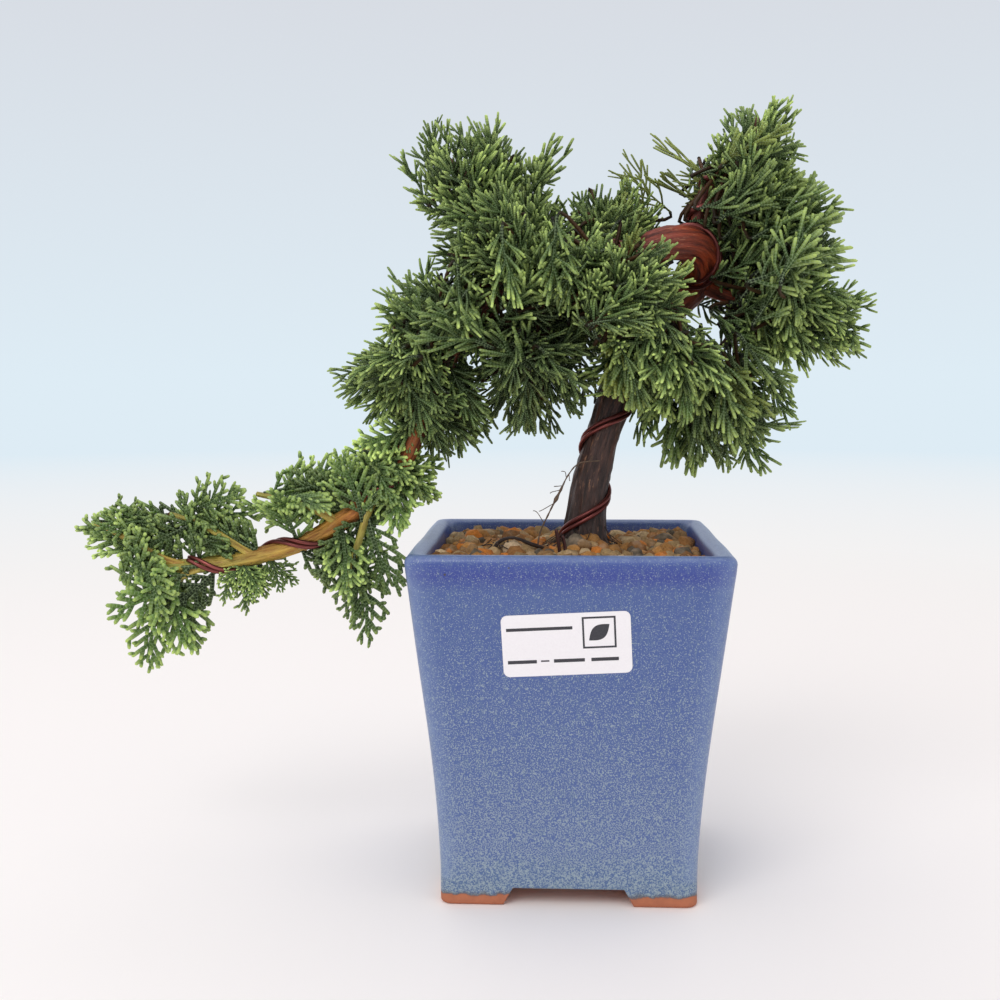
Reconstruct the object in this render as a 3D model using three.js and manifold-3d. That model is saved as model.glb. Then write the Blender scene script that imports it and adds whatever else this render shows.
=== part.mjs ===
// Bonsai juniper in a square glazed pot: a wired, half-cascading tree.
// Millimetres, +Z up. The front is -Y, and the cascade reaches out along -X.
import * as THREE from 'three';
import { mergeVertices } from 'three/addons/utils/BufferGeometryUtils.js';
import Module from 'manifold-3d';

const wasm = await Module();
wasm.setup();

// ---- driving dimensions ----
const gap = 0.3; // clearance between pieces that touch

const potHeight = 115;
const rimWidth = 103;
const baseWidth = 83;
const wall = 6.3;
const cornerRadius = 4;
const edgeRadius = 2.4; // rounding of the rim
const flareStart = 0.1; // shares of the height between which the wall leans out
const flareEnd = 0.97;
const flarePower = 1.35;
const floorThickness = 6.5;
const footHeight = 5.6;
const footLength = 20.5; // along each side, at the ground
const footSlope = 3.1; // how far the foot's inner end leans
const drainDiameter = 14;
const soilDrop = 4.5; // rim down to the soil

const labelWidth = 40;
const labelHeight = 20;
const labelThickness = 0.3;
const labelCorner = 2;
const labelOffset = -0.9; // off the middle of the front
const labelDrop = 27.7; // rim down to the label's middle
const labelTurn = 3; // degrees

const meshSize = 20;
const meshThickness = 1.2;
const meshPitch = 4;
const meshBar = 1.2;
const clipWire = 1.2; // diameters
const anchorWire = 1.2;
const trainingWire = 1.5;
const branchWire = 2;
const rootletDiameter = 0.7;

const trunkScale = 1; // thickness of all the wood

// heights that follow from them
const potFloor = footHeight + floorThickness;
const soilTop = potHeight - soilDrop;
const potInside = rimWidth / 2 - wall;

// ---- solids ----

// closed three.js geometry -> manifold solid
function solid(geometry) {
  const bare = geometry.clone();
  bare.deleteAttribute('normal');
  bare.deleteAttribute('uv');
  const merged = mergeVertices(bare, 1e-4);
  return new wasm.Manifold(new wasm.Mesh({
    numProp: 3,
    vertProperties: new Float32Array(merged.attributes.position.array),
    triVerts: new Uint32Array(merged.index.array),
  }));
}

// manifold solid -> three.js geometry
function geometryOf(body) {
  const mesh = body.getMesh();
  const geometry = new THREE.BufferGeometry();
  geometry.setAttribute('position', new THREE.BufferAttribute(mesh.vertProperties, 3));
  geometry.setIndex(new THREE.BufferAttribute(mesh.triVerts, 1));
  geometry.computeVertexNormals();
  return geometry;
}

// a cut can leave loose crumbs at its edge: the piece is the largest body
function mainBody(body) {
  const bodies = body.decompose();
  return bodies.reduce((best, next) => (next.volume() > best.volume() ? next : best));
}

function joined(bodies) {
  return bodies.reduce((sum, body) => sum.add(body));
}

// a stack of rounded squares: each level is [height, half width, corner radius]
function squareLoft(levels, cornerSteps = 4) {
  const around = 4 * (cornerSteps + 1);
  const geometry = new THREE.CylinderGeometry(1, 1, 1, around, levels.length - 1);
  const position = geometry.attributes.position;
  const outline = levels.map(([, half, radius]) => {
    const points = [];
    for (let i = 0; i < around; i += 1) {
      const corner = Math.floor(i / (cornerSteps + 1));
      const turn = (corner + (i % (cornerSteps + 1)) / cornerSteps) * Math.PI / 2;
      const middle = (corner + 0.5) * Math.PI / 2;
      const reach = (half - radius) * Math.SQRT2;
      points.push([
        reach * Math.cos(middle) + radius * Math.cos(turn),
        reach * Math.sin(middle) + radius * Math.sin(turn),
      ]);
    }
    return points;
  });
  for (let i = 0; i < position.count; i += 1) {
    const x = position.getX(i);
    const z = position.getZ(i);
    const level = Math.round((position.getY(i) + 0.5) * (levels.length - 1));
    if (Math.hypot(x, z) < 0.5) {
      position.setXYZ(i, 0, 0, levels[level][0]);
    } else {
      const step = Math.round(Math.atan2(x, z) / (2 * Math.PI) * around);
      const point = outline[level][(step + around) % around];
      position.setXYZ(i, point[0], point[1], levels[level][0]);
    }
  }
  return solid(geometry);
}

// a shape in the XY plane carried up from one height to another
function slab(shape, bottom, top) {
  const geometry = new THREE.ExtrudeGeometry(shape, { depth: top - bottom, bevelEnabled: false });
  return solid(geometry.translate(0, 0, bottom));
}

function curveThrough(points) {
  return new THREE.CatmullRomCurve3(points.map((p) => new THREE.Vector3(...p)), false, 'centripetal');
}

// a cylinder bent along a curve: radiusAt gives its radius at each share of the length
function tube(curve, radiusAt, sides, steps) {
  const geometry = new THREE.CylinderGeometry(1, 1, 1, sides, steps);
  const position = geometry.attributes.position;
  const frames = curve.computeFrenetFrames(steps, false);
  const point = new THREE.Vector3();
  for (let i = 0; i < position.count; i += 1) {
    const step = Math.round((position.getY(i) + 0.5) * steps);
    const radius = radiusAt(step / steps);
    curve.getPointAt(step / steps, point);
    point.addScaledVector(frames.normals[step], position.getX(i) * radius);
    point.addScaledVector(frames.binormals[step], -position.getZ(i) * radius);
    position.setXYZ(i, point.x, point.y, point.z);
  }
  return solid(geometry);
}

// straight lines through [place, value] pairs
function between(pairs, place) {
  const next = pairs.findIndex(([at]) => at >= place);
  if (next <= 0) return next === 0 ? pairs[0][1] : pairs.at(-1)[1];
  const [from, low] = pairs[next - 1];
  const [to, high] = pairs[next];
  return low + (high - low) * (place - from) / (to - from);
}

// ---- pot ----

function potHalfWidth(height) {
  const share = (height / potHeight - flareStart) / (flareEnd - flareStart);
  const lean = Math.min(Math.max(share, 0), 1) ** flarePower;
  return baseWidth / 2 + (rimWidth - baseWidth) / 2 * lean;
}

function potOuter() {
  const levels = [[0, potHalfWidth(0) - 1, cornerRadius - 1]];
  const steps = 9;
  for (let i = 0; i <= steps; i += 1) {
    const height = 1 + (potHeight - edgeRadius - 1) * i / steps;
    levels.push([height, potHalfWidth(height), cornerRadius]);
  }
  for (let i = 1; i <= 3; i += 1) {
    const turn = i / 3 * Math.PI / 2;
    const inset = edgeRadius * (1 - Math.cos(turn));
    const height = potHeight - edgeRadius * (1 - Math.sin(turn));
    levels.push([height, potHalfWidth(height) - inset, cornerRadius - inset * 0.5]);
  }
  return squareLoft(levels);
}

// the hollow inside the wall, made narrower by extra
function potHollow(extra = 0) {
  const levels = [];
  const steps = 7;
  for (let i = 0; i <= steps; i += 1) {
    const height = potFloor + (potHeight + 1 - potFloor) * i / steps;
    levels.push([height, potHalfWidth(height) - wall - extra, cornerRadius]);
  }
  return squareLoft(levels);
}

// the rounded inner edge of the rim
function rimEase() {
  const levels = [[potHeight - edgeRadius, potInside, cornerRadius]];
  for (let i = 1; i <= 3; i += 1) {
    const turn = i / 3 * Math.PI / 2;
    const height = potHeight - edgeRadius + edgeRadius * Math.sin(turn);
    levels.push([height, potInside + edgeRadius * (1 - Math.cos(turn)), cornerRadius]);
  }
  levels.push([potHeight + 1, potInside + edgeRadius, cornerRadius]);
  return squareLoft(levels);
}

// the gap between two feet, running right under the pot
function footNotch() {
  const low = baseWidth / 2 - footLength;
  const high = low - footSlope;
  const shape = new THREE.Shape();
  shape.moveTo(-low - footSlope * 0.2, -1);
  shape.lineTo(low + footSlope * 0.2, -1);
  shape.lineTo(high, footHeight);
  shape.lineTo(-high, footHeight);
  shape.closePath();
  const length = rimWidth + 10;
  const geometry = new THREE.ExtrudeGeometry(shape, { depth: length, bevelEnabled: false });
  return geometry.translate(0, 0, -length / 2).rotateX(Math.PI / 2);
}

function drainHole(bottom, top) {
  const shape = new THREE.Shape();
  shape.absarc(0, 0, drainDiameter / 2, 0, 2 * Math.PI);
  return slab(shape, bottom, top);
}

function pot() {
  return potOuter()
    .subtract(potHollow())
    .subtract(rimEase())
    .subtract(solid(footNotch()))
    .subtract(solid(footNotch().rotateZ(Math.PI / 2)))
    .subtract(drainHole(0, potFloor + 1));
}

// ---- label ----

function label() {
  const w = labelWidth / 2;
  const h = labelHeight / 2;
  const r = labelCorner;
  const shape = new THREE.Shape();
  shape.absarc(w - r, h - r, r, 0, Math.PI / 2);
  shape.absarc(-w + r, h - r, r, Math.PI / 2, Math.PI);
  shape.absarc(-w + r, -h + r, r, Math.PI, 1.5 * Math.PI);
  shape.absarc(w - r, -h + r, r, 1.5 * Math.PI, 2 * Math.PI);
  shape.closePath();
  const geometry = new THREE.ExtrudeGeometry(shape, {
    depth: labelThickness, bevelEnabled: false, curveSegments: 4,
  });
  return geometryOf(solid(geometry));
}

// the label lies on the line between the wall's points at its upper and lower edge
function placeLabel(mesh) {
  const turn = THREE.MathUtils.degToRad(labelTurn);
  const reach = labelHeight / 2 * Math.cos(turn) + labelWidth / 2 * Math.sin(turn);
  const middle = potHeight - labelDrop;
  const low = potHalfWidth(middle - reach);
  const high = potHalfWidth(middle + reach);
  const lean = Math.atan2(high - low, 2 * reach);
  mesh.rotation.set(Math.PI / 2 + lean, 0, 0);
  mesh.rotateZ(turn);
  mesh.position.set(labelOffset, -(low + high) / 2 - gap / Math.cos(lean), middle);
}

// ---- wood: every place is measured from the middle of the soil's surface ----

const trunkRoute = [
  [4, 0, -16], [5, 0, -4], [5.5, 0, 8], [7, 0, 21], [9.5, 0, 32], [13, 1, 44], [18, 4, 57],
  [26, 8, 70], [35, 11, 83], [42, 9, 91], [44, 0, 97], [40, -10, 102], [31, -15, 102], [18, -15, 98],
  [5, -13, 96], [-9, -11, 92], [-23, -9, 86], [-35, -8, 76], [-43, -8, 62], [-48, -10, 49],
  [-53, -12, 37], [-58, -12, 28], [-66, -13, 19], [-78, -14, 10], [-91, -14, 3], [-105, -14, -1],
  [-120, -14, -4], [-132, -14, -5], [-143, -14, -5],
];
// share of the trunk's length and radius there
const trunkTaper = [
  [0, 8], [0.08, 6.2], [0.14, 5.4], [0.36, 5.6], [0.48, 4.7], [0.62, 3.6], [0.85, 2.5], [1, 1.8],
];

// side branches: radius at the base, radius at the tip, route from inside the trunk
const branches = [
  {
    from: 2.4,
    to: 1,
    route: [[43, -2, 97], [42, -1.5, 107], [44, -2, 119], [50, -2, 127], [57, -1, 136], [62, 0, 144]],
  },
  { from: 2.2, to: 1, route: [[16, 3, 53], [24, 5, 56], [38, 4, 60], [50, 4, 58], [60, 3, 50]] },
  { from: 2.4, to: 1, route: [[41, 6, 92], [52, 8, 87], [65, 6, 84], [77, 2, 85], [91, 0, 76]] },
  { from: 2.6, to: 1, route: [[-5, -12, 95], [-13, -7, 106], [-23, 1, 116], [-34, 6, 126], [-43, 6, 134]] },
  { from: 2, to: 1, route: [[14, -14, 98], [12, -22, 93], [20, -28, 85], [29, -26, 77], [36, -22, 68]] },
  { from: 2.2, to: 1, route: [[24, 8, 68], [17, 18, 77], [7, 27, 81], [-7, 29, 90]] },
  { from: 2, to: 1, route: [[40, 9, 88], [44, 20, 92], [53, 28, 99], [60, 30, 106]] },
  { from: 1.8, to: 0.9, route: [[-22, -9, 86], [-16, -8, 76], [-13, -8, 64], [-9, -10, 52]] },
  { from: 1.8, to: 1, route: [[-35, -8, 76], [-45, -10, 78], [-56, -12, 75]] },
  { from: 1.8, to: 1, route: [[-24, -9, 86], [-26, -18, 98], [-27, -19, 106]] },
  { from: 2, to: 1, route: [[-14, -10, 94], [-15, 8, 101], [-18, 22, 107]] },
  { from: 1.6, to: 0.8, route: [[0, -12, 95], [6, -2, 104], [12, 8, 113]] },
  { from: 1.6, to: 0.9, route: [[-43, -8, 62], [-52, -12, 60], [-61, -14, 58]] },
  { from: 1.4, to: 0.8, route: [[-56, -12, 31], [-63, -12, 33], [-70, -11, 35]] },
  {
    from: 1.6,
    to: 0.8,
    route: [[-66, -13, 19], [-68, -17, 12], [-70, -18, 5], [-73, -17, -4], [-74, -16, -13]],
  },
  { from: 1.5, to: 0.8, route: [[-77, -14, 10], [-85, -17, 15], [-95, -16, 18], [-105, -15, 20]] },
  { from: 1.4, to: 0.8, route: [[-107, -14, -1], [-114, -16, 4], [-125, -15, 10], [-135, -14, 13]] },
  {
    from: 1.5,
    to: 0.8,
    route: [[-131, -14, -5], [-138, -15, -2], [-146, -16, 3], [-154, -15, 7], [-161, -14, 10]],
  },
  { from: 1.4, to: 0.8, route: [[-123, -14, -4], [-132, -17, -9], [-138, -17, -16], [-140, -16, -25]] },
];

// roots: five buried ones spread round the trunk, and one that arches over the soil
const rootCount = 5;
const rootStart = -45; // degrees, leaves the front free for the anchor wire
const rootSpread = 312; // degrees
const rootReach = 26;
const rootDepth = 34;
const rootThick = 3.4; // radii
const rootThin = 1;
const surfaceRootRadius = 1.3;
const rootMiddle = trunkRoute[0][0];
const surfaceRoot = [
  [2, -2, -6], [-9, -6, -3], [-15, -9, 3], [-20, -9.5, 7], [-24, -7, 5], [-27, -4, -4],
];

const trunkCurve = curveThrough(trunkRoute);

function trunkRadius(share) {
  return trunkScale * between(trunkTaper, share);
}

function branchRadius({ from, to }, share) {
  return trunkScale * (from + (to - from) * share);
}

// the wood, swollen by extra where another piece is to be cut clear of it
function wood(extra = 0) {
  const bodies = [tube(trunkCurve, (share) => trunkRadius(share) + extra, 8, 56)];
  branches.forEach((branch) => {
    const radiusAt = (share) => branchRadius(branch, share) + extra;
    bodies.push(tube(curveThrough(branch.route), radiusAt, 5, branch.route.length * 2 - 2));
  });
  for (let i = 0; i < rootCount; i += 1) {
    const turn = THREE.MathUtils.degToRad(rootStart + i * rootSpread / rootCount);
    const route = [[0.05, 0.2], [0.45, 0.35], [0.8, 0.6], [1, 1]].map(([out, down]) => [
      rootMiddle + rootReach * out * Math.cos(turn),
      rootReach * out * Math.sin(turn),
      -rootDepth * down,
    ]);
    const radiusAt = (share) => trunkScale * (rootThick + (rootThin - rootThick) * share) + extra;
    bodies.push(tube(curveThrough(route), radiusAt, 5, 5));
  }
  bodies.push(tube(curveThrough(surfaceRoot), () => trunkScale * surfaceRootRadius + extra, 5, 10));
  return joined(bodies);
}

// ---- wires ----

// a point beside a curve: share of its length, angle round it, distance from it
function beside(curve, frames, share, angle, distance) {
  const place = share * (frames.normals.length - 1);
  const low = Math.min(Math.floor(place), frames.normals.length - 2);
  const blend = place - low;
  const normal = frames.normals[low].clone().lerp(frames.normals[low + 1], blend).normalize();
  const binormal = frames.binormals[low].clone().lerp(frames.binormals[low + 1], blend).normalize();
  return curve.getPointAt(share)
    .addScaledVector(normal, distance * Math.cos(angle))
    .addScaledVector(binormal, distance * Math.sin(angle));
}

const seat = 0.55; // between a winding and the wood's facets

// wire wound round a curve: turnsAt gives the turns made at each share of the length
function winding(curve, radiusAt, diameter, turnsAt, from, to, perTurn = 12) {
  const frames = curve.computeFrenetFrames(240, false);
  const count = Math.round(Math.abs(turnsAt(to) - turnsAt(from)) * perTurn);
  const points = [];
  for (let i = 0; i <= count; i += 1) {
    const share = from + (to - from) * i / count;
    const angle = 2 * Math.PI * turnsAt(share);
    points.push(beside(curve, frames, share, angle, radiusAt(share) + seat + diameter / 2));
  }
  return { curve: new THREE.CatmullRomCurve3(points, false, 'centripetal'), count };
}

// turns that the double strand has made at each share of the trunk's length
const strandTurns = [[0, -0.85], [0.0725, 0], [0.158, 1], [0.852, 9.294], [0.941, 10.294], [1, 11]];
const strandFrom = 0.036;
const strandTo = 0.962;
const strandLead = 31; // along the trunk in one turn
const bendSpread = [[0.28, 1], [0.33, 2.2], [0.39, 2.2], [0.44, 1]]; // the strands part inside the hairpin
const leaderTurns = [[0, 0.3], [1, 5.3]];
const leaderFrom = 0.24; // shares of the leader between which it is wired
const leaderTo = 0.8;

// how far along the trunk the second strand lies from the first
function strandShift(share) {
  const around = 2 * Math.PI * (trunkRadius(share) + seat + trainingWire / 2);
  const apart = (trainingWire + 2 * gap) * between(bendSpread, share);
  return apart * Math.hypot(around, strandLead) / around / trunkCurve.getLength();
}

function strand(index, extra = 0) {
  const turnsAt = (share) => between(strandTurns, share - index * strandShift(share));
  const wound = winding(trunkCurve, trunkRadius, trainingWire, turnsAt, strandFrom, strandTo);
  return tube(wound.curve, () => trainingWire / 2 + extra, 5, wound.count);
}

function leaderWinding(extra = 0) {
  const radiusAt = (share) => branchRadius(branches[0], share);
  const turnsAt = (share) => between(leaderTurns, share);
  const curve = curveThrough(branches[0].route);
  const wound = winding(curve, radiusAt, branchWire, turnsAt, leaderFrom, leaderTo);
  return tube(wound.curve, () => branchWire / 2 + extra, 6, wound.count);
}

// plain sleeves over the wired wood, which the foliage stays clear of
function sleeves() {
  const leader = branches[0];
  const across = Math.cos(Math.PI / 6); // from a hexagon's corner to its side
  const clear = seat + 2 * gap;
  const trunkSleeve = (share) => (trunkRadius(share) + clear + trainingWire) / across;
  const leaderSleeve = (share) => (branchRadius(leader, share) + clear + branchWire) / across;
  return joined([
    tube(trunkCurve, trunkSleeve, 6, 48),
    tube(curveThrough(leader.route), leaderSleeve, 6, 10),
  ]);
}

// the tie-down: up through two openings of the drain mesh, its ends twisted above the soil
function anchor(extra = 0) {
  const low = potFloor - soilTop - anchorWire / 2 - meshThickness; // under the mesh, in the drain hole
  const side = meshPitch;
  const route = [
    [-4.4, -20, 9], [-3.5, -20, 4], [-3.2, -20, -3], [-8, -18, -20], [-7, -12, -60],
    [0, -side, low + 6], [0, -side, low + 1.5], [0, 1.5 - side, low],
    [0, side - 1.5, low], [0, side, low + 1.5], [0, side, low + 6],
    [8, -8, -60], [4, -18, -20], [-1.4, -20.5, -3], [-1.4, -20.5, 3], [-2.2, -20.5, 7],
  ];
  return tube(curveThrough(route), () => anchorWire / 2 + extra, 6, 56);
}

function rootlet(extra = 0) {
  const route = [
    [-11, -9, -3], [-10, -9, 6], [-7, -10, 13], [-3, -10, 21], [-0.5, -9.5, 26], [3, -9.5, 30], [10, -9, 31],
  ];
  return tube(curveThrough(route), () => rootletDiameter / 2 + extra, 5, 18);
}

// ---- drain mesh and its clip, on the pot's floor ----

function drainMesh() {
  const bars = [];
  const count = Math.floor(meshSize / meshPitch);
  const length = count * meshPitch + meshBar;
  for (let i = 0; i <= count; i += 1) {
    const place = (i - count / 2) * meshPitch;
    const bar = new THREE.BoxGeometry(length, meshBar, meshThickness);
    bar.translate(0, place, potFloor + gap + meshThickness / 2);
    bars.push(solid(bar), solid(bar.clone().rotateZ(Math.PI / 2)));
  }
  return joined(bars);
}

function meshClip() {
  const high = potFloor + meshThickness + 2 * gap + clipWire / 2;
  const low = footHeight - gap - clipWire / 2;
  const side = meshPitch;
  const out = drainDiameter / 2 + 3;
  const route = [
    [-out, 0, low], [-side - 2, 0, low], [-side, 0, low + 2], [-side, 0, high - 2], [-side + 1.2, 0, high],
    [side - 1.2, 0, high], [side, 0, high - 2], [side, 0, low + 2], [side + 2, 0, low], [out, 0, low],
  ];
  return tube(curveThrough(route), () => clipWire / 2, 6, 40);
}

// ---- soil ----

function soil(cutters) {
  const depth = soilTop - potFloor - gap;
  const fill = new THREE.BoxGeometry(rimWidth, rimWidth, depth);
  fill.translate(0, 0, soilTop - depth / 2);
  const half = (meshSize + meshBar) / 2 + gap;
  const bed = new THREE.BoxGeometry(2 * half, 2 * half, 2 * (meshThickness + clipWire + 4 * gap));
  bed.translate(0, 0, potFloor + gap);
  const body = potHollow(gap).intersect(solid(fill)).subtract(solid(bed));
  return mainBody(cutters.reduce((rest, cutter) => rest.subtract(cutter), body));
}

// ---- foliage: one lumpy solid for each cluster, [middle], [half sizes], measured like the wood ----

const foliage = {
  foliage_crown_left: { at: [-35, 5, 128], half: [21, 20, 18] },
  foliage_shoulder_left: { at: [-26, -15, 104], half: [20, 19, 15] },
  foliage_shoulder_back: { at: [-19, 23, 108], half: [21, 18, 17] },
  foliage_flank_left: { at: [-46, -10, 81], half: [19, 22, 16] },
  foliage_flank_low: { at: [-57, -12, 60], half: [16, 19, 12] },
  foliage_flank_under: { at: [-47, -8, 43], half: [13, 16, 11] },
  foliage_centre_front: { at: [-5, -27, 95], half: [16, 14, 14] },
  foliage_centre_low: { at: [-12, -8, 64], half: [17, 19, 18] },
  foliage_centre_back: { at: [6, 27, 80], half: [25, 19, 19] },
  foliage_middle_front: { at: [20, -30, 84], half: [14, 13, 14] },
  foliage_middle_low: { at: [35, -20, 67], half: [19, 19, 14] },
  foliage_top_middle: { at: [12, 10, 115], half: [13, 14, 11] },
  foliage_old_twigs: { at: [36, 2, 128], half: [10, 9, 11] },
  foliage_crown_right: { at: [64, 0, 132], half: [17, 21, 19] },
  foliage_right_upper: { at: [74, -4, 108], half: [14, 21, 16] },
  foliage_right_outer: { at: [85, 0, 82], half: [17, 21, 15] },
  foliage_right_middle: { at: [61, 4, 82], half: [14, 21, 15] },
  foliage_right_low: { at: [55, 2, 48], half: [21, 23, 17] },
  foliage_right_back: { at: [60, 29, 104], half: [18, 15, 20] },
  foliage_bend_tuft: { at: [-64, -10, 34], half: [12, 14, 10] },
  foliage_hanging_spray: { at: [-74, -16, -14], half: [14, 11, 17] },
  foliage_upper_spray: { at: [-92, -15, 20], half: [19, 13, 10] },
  foliage_ridge_spray: { at: [-121, -13, 11], half: [15, 11, 11] },
  foliage_tip_spray: { at: [-152, -14, 8], half: [14, 12, 12] },
  foliage_drop_spray: { at: [-137, -15, -22], half: [14, 12, 16] },
  foliage_under_spray: { at: [-106, -13, -11], half: [13, 10, 8] },
};
const fullness = 1.1; // how far the clusters fill out past their half sizes
const lump = 0.1; // share of the radius by which a cluster is lumpy

function cluster({ at, half }, index, extra = 0) {
  const geometry = new THREE.IcosahedronGeometry(1, 1);
  const position = geometry.attributes.position;
  const p = new THREE.Vector3();
  for (let i = 0; i < position.count; i += 1) {
    p.fromBufferAttribute(position, i);
    const wave = Math.sin(4.1 * p.x + index) * Math.sin(3.7 * p.y + 2 * index)
      + Math.sin(5.3 * p.z + 3 * index);
    const swell = fullness + lump * wave / 2;
    position.setXYZ(
      i,
      at[0] + p.x * (half[0] * swell + extra),
      at[1] + p.y * (half[1] * swell + extra),
      at[2] + p.z * (half[2] * swell + extra),
    );
  }
  return solid(geometry);
}

// ---- the scene graph ----

const materials = {
  glaze: new THREE.MeshStandardMaterial({ color: 0x7081a6, roughness: 0.35, metalness: 0 }),
  bark: new THREE.MeshStandardMaterial({ color: 0x5a3a28, roughness: 0.85, metalness: 0 }),
  wire: new THREE.MeshStandardMaterial({ color: 0x5a2e26, roughness: 0.35, metalness: 0.9 }),
  steel: new THREE.MeshStandardMaterial({ color: 0x6b6560, roughness: 0.5, metalness: 0.9 }),
  grains: new THREE.MeshStandardMaterial({ color: 0xa97a50, roughness: 0.95, metalness: 0 }),
  leaves: new THREE.MeshStandardMaterial({ color: 0x3c6b3a, roughness: 0.7, metalness: 0 }),
  paper: new THREE.MeshStandardMaterial({ color: 0xf3eae9, roughness: 0.6, metalness: 0 }),
  fibre: new THREE.MeshStandardMaterial({ color: 0x6e5a48, roughness: 0.9, metalness: 0 }),
  plastic: new THREE.MeshStandardMaterial({ color: 0x1d1f1e, roughness: 0.6, metalness: 0 }),
};

function piece(name, geometry, material) {
  const mesh = new THREE.Mesh(geometry, material);
  mesh.name = name;
  return mesh;
}

const vessel = new THREE.Group();
const tree = new THREE.Group();
tree.position.z = soilTop;

vessel.add(piece('pot', geometryOf(pot()), materials.glaze));
const sticker = piece('label', label(), materials.paper);
placeLabel(sticker);
vessel.add(sticker);
vessel.add(piece('drain_mesh', geometryOf(drainMesh()), materials.plastic));
vessel.add(piece('mesh_clip', geometryOf(meshClip()), materials.steel));

const buried = [wood(gap), strand(0, gap), strand(1, gap), anchor(gap), rootlet(gap)]
  .map((body) => body.translate([0, 0, soilTop]));
vessel.add(piece('soil', geometryOf(soil(buried)), materials.grains));

tree.add(piece('trunk_and_branches', geometryOf(wood()), materials.bark));
tree.add(piece('training_wire_a', geometryOf(strand(0)), materials.wire));
tree.add(piece('training_wire_b', geometryOf(strand(1)), materials.wire));
tree.add(piece('branch_wire', geometryOf(leaderWinding()), materials.wire));
tree.add(piece('anchor_wire', geometryOf(anchor()), materials.steel));
tree.add(piece('dry_rootlet', geometryOf(rootlet()), materials.fibre));

const taken = [wood(gap), sleeves()];
Object.entries(foliage).forEach(([name, size], index) => {
  const body = taken.reduce((rest, other) => rest.subtract(other), cluster(size, index));
  tree.add(piece(name, geometryOf(mainBody(body)), materials.leaves));
  taken.push(cluster(size, index, gap));
});

// the origin is under the middle of the whole object's box
const bonsai = new THREE.Group();
bonsai.add(vessel, tree);
bonsai.updateMatrixWorld(true);
const middle = new THREE.Box3().setFromObject(bonsai).getCenter(new THREE.Vector3());
bonsai.position.set(-middle.x, -middle.y, 0);

export default bonsai;
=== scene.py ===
# A wired juniper bonsai in a square glazed pot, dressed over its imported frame.
import math

import bpy
import numpy as np
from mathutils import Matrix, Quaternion, Vector


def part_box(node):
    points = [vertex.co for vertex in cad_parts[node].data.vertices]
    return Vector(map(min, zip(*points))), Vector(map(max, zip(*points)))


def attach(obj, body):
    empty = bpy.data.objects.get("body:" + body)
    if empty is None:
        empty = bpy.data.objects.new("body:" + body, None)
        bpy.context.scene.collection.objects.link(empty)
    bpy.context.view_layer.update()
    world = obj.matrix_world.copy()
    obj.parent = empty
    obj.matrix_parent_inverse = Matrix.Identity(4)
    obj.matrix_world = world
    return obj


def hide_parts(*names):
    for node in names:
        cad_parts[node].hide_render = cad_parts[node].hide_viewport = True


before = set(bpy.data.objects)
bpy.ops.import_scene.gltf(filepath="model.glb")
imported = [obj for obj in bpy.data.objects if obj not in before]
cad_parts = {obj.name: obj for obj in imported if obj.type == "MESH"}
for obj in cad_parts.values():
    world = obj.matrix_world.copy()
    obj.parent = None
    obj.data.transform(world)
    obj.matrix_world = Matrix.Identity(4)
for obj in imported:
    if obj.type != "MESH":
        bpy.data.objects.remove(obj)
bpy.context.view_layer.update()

potLow, potHigh = (np.array(corner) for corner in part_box("pot"))
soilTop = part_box("soil")[1].z
mm = 0.001
potMiddle = (potLow + potHigh) / 2
potFoot = np.array([potMiddle[0], potMiddle[1], potLow[2]])
# every route and place of the tree is in millimetres from the middle of the soil's surface
treeFoot = np.array([potMiddle[0], potMiddle[1], soilTop])
goldenAngle = math.pi * (3 - math.sqrt(5))


# A surface part is a dictionary: points (n, 3), quads (q, 4), triangles (t, 3), and values with a row for
# each point. The foliage also has a place on its surface for each face corner: uvQuads and uvTriangles.
def joinParts(parts):
    starts = np.cumsum([0] + [len(part["points"]) for part in parts[:-1]])
    joined = {"points": np.concatenate([part["points"] for part in parts])}
    for faces in ("quads", "triangles"):
        joined[faces] = np.concatenate([part[faces] + start for part, start in zip(parts, starts)])
    for corners in ("uvQuads", "uvTriangles"):
        if corners in parts[0]:
            joined[corners] = np.concatenate([part[corners] for part in parts])
    joined["values"] = {
        name: np.concatenate([part["values"][name] for part in parts]) for name in parts[0]["values"]
    }
    return joined


# Faces of a closed stack of rings that goes up, with two more points after them: the low end's, then the
# high end's. Point k of ring j has the number j * columns + k.
def stackFaces(rings, columns):
    side = np.arange(columns)
    after = (side + 1) % columns
    row = np.arange(rings - 1)[:, None] * columns
    quads = np.stack([row + side, row + after, row + columns + after, row + columns + side], axis=-1)
    last = (rings - 1) * columns
    fans = np.concatenate([
        np.stack([after, side, np.full(columns, rings * columns)], axis=-1),
        np.stack([last + side, last + after, np.full(columns, rings * columns + 1)], axis=-1),
    ])
    return quads.reshape(-1, 4), fans


# the faces of many copies of a shape, whose points follow each other
def copyFaces(faces, count, pointCount):
    return (faces[None] + (np.arange(count) * pointCount)[:, None, None]).reshape(-1, faces.shape[1])


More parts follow.
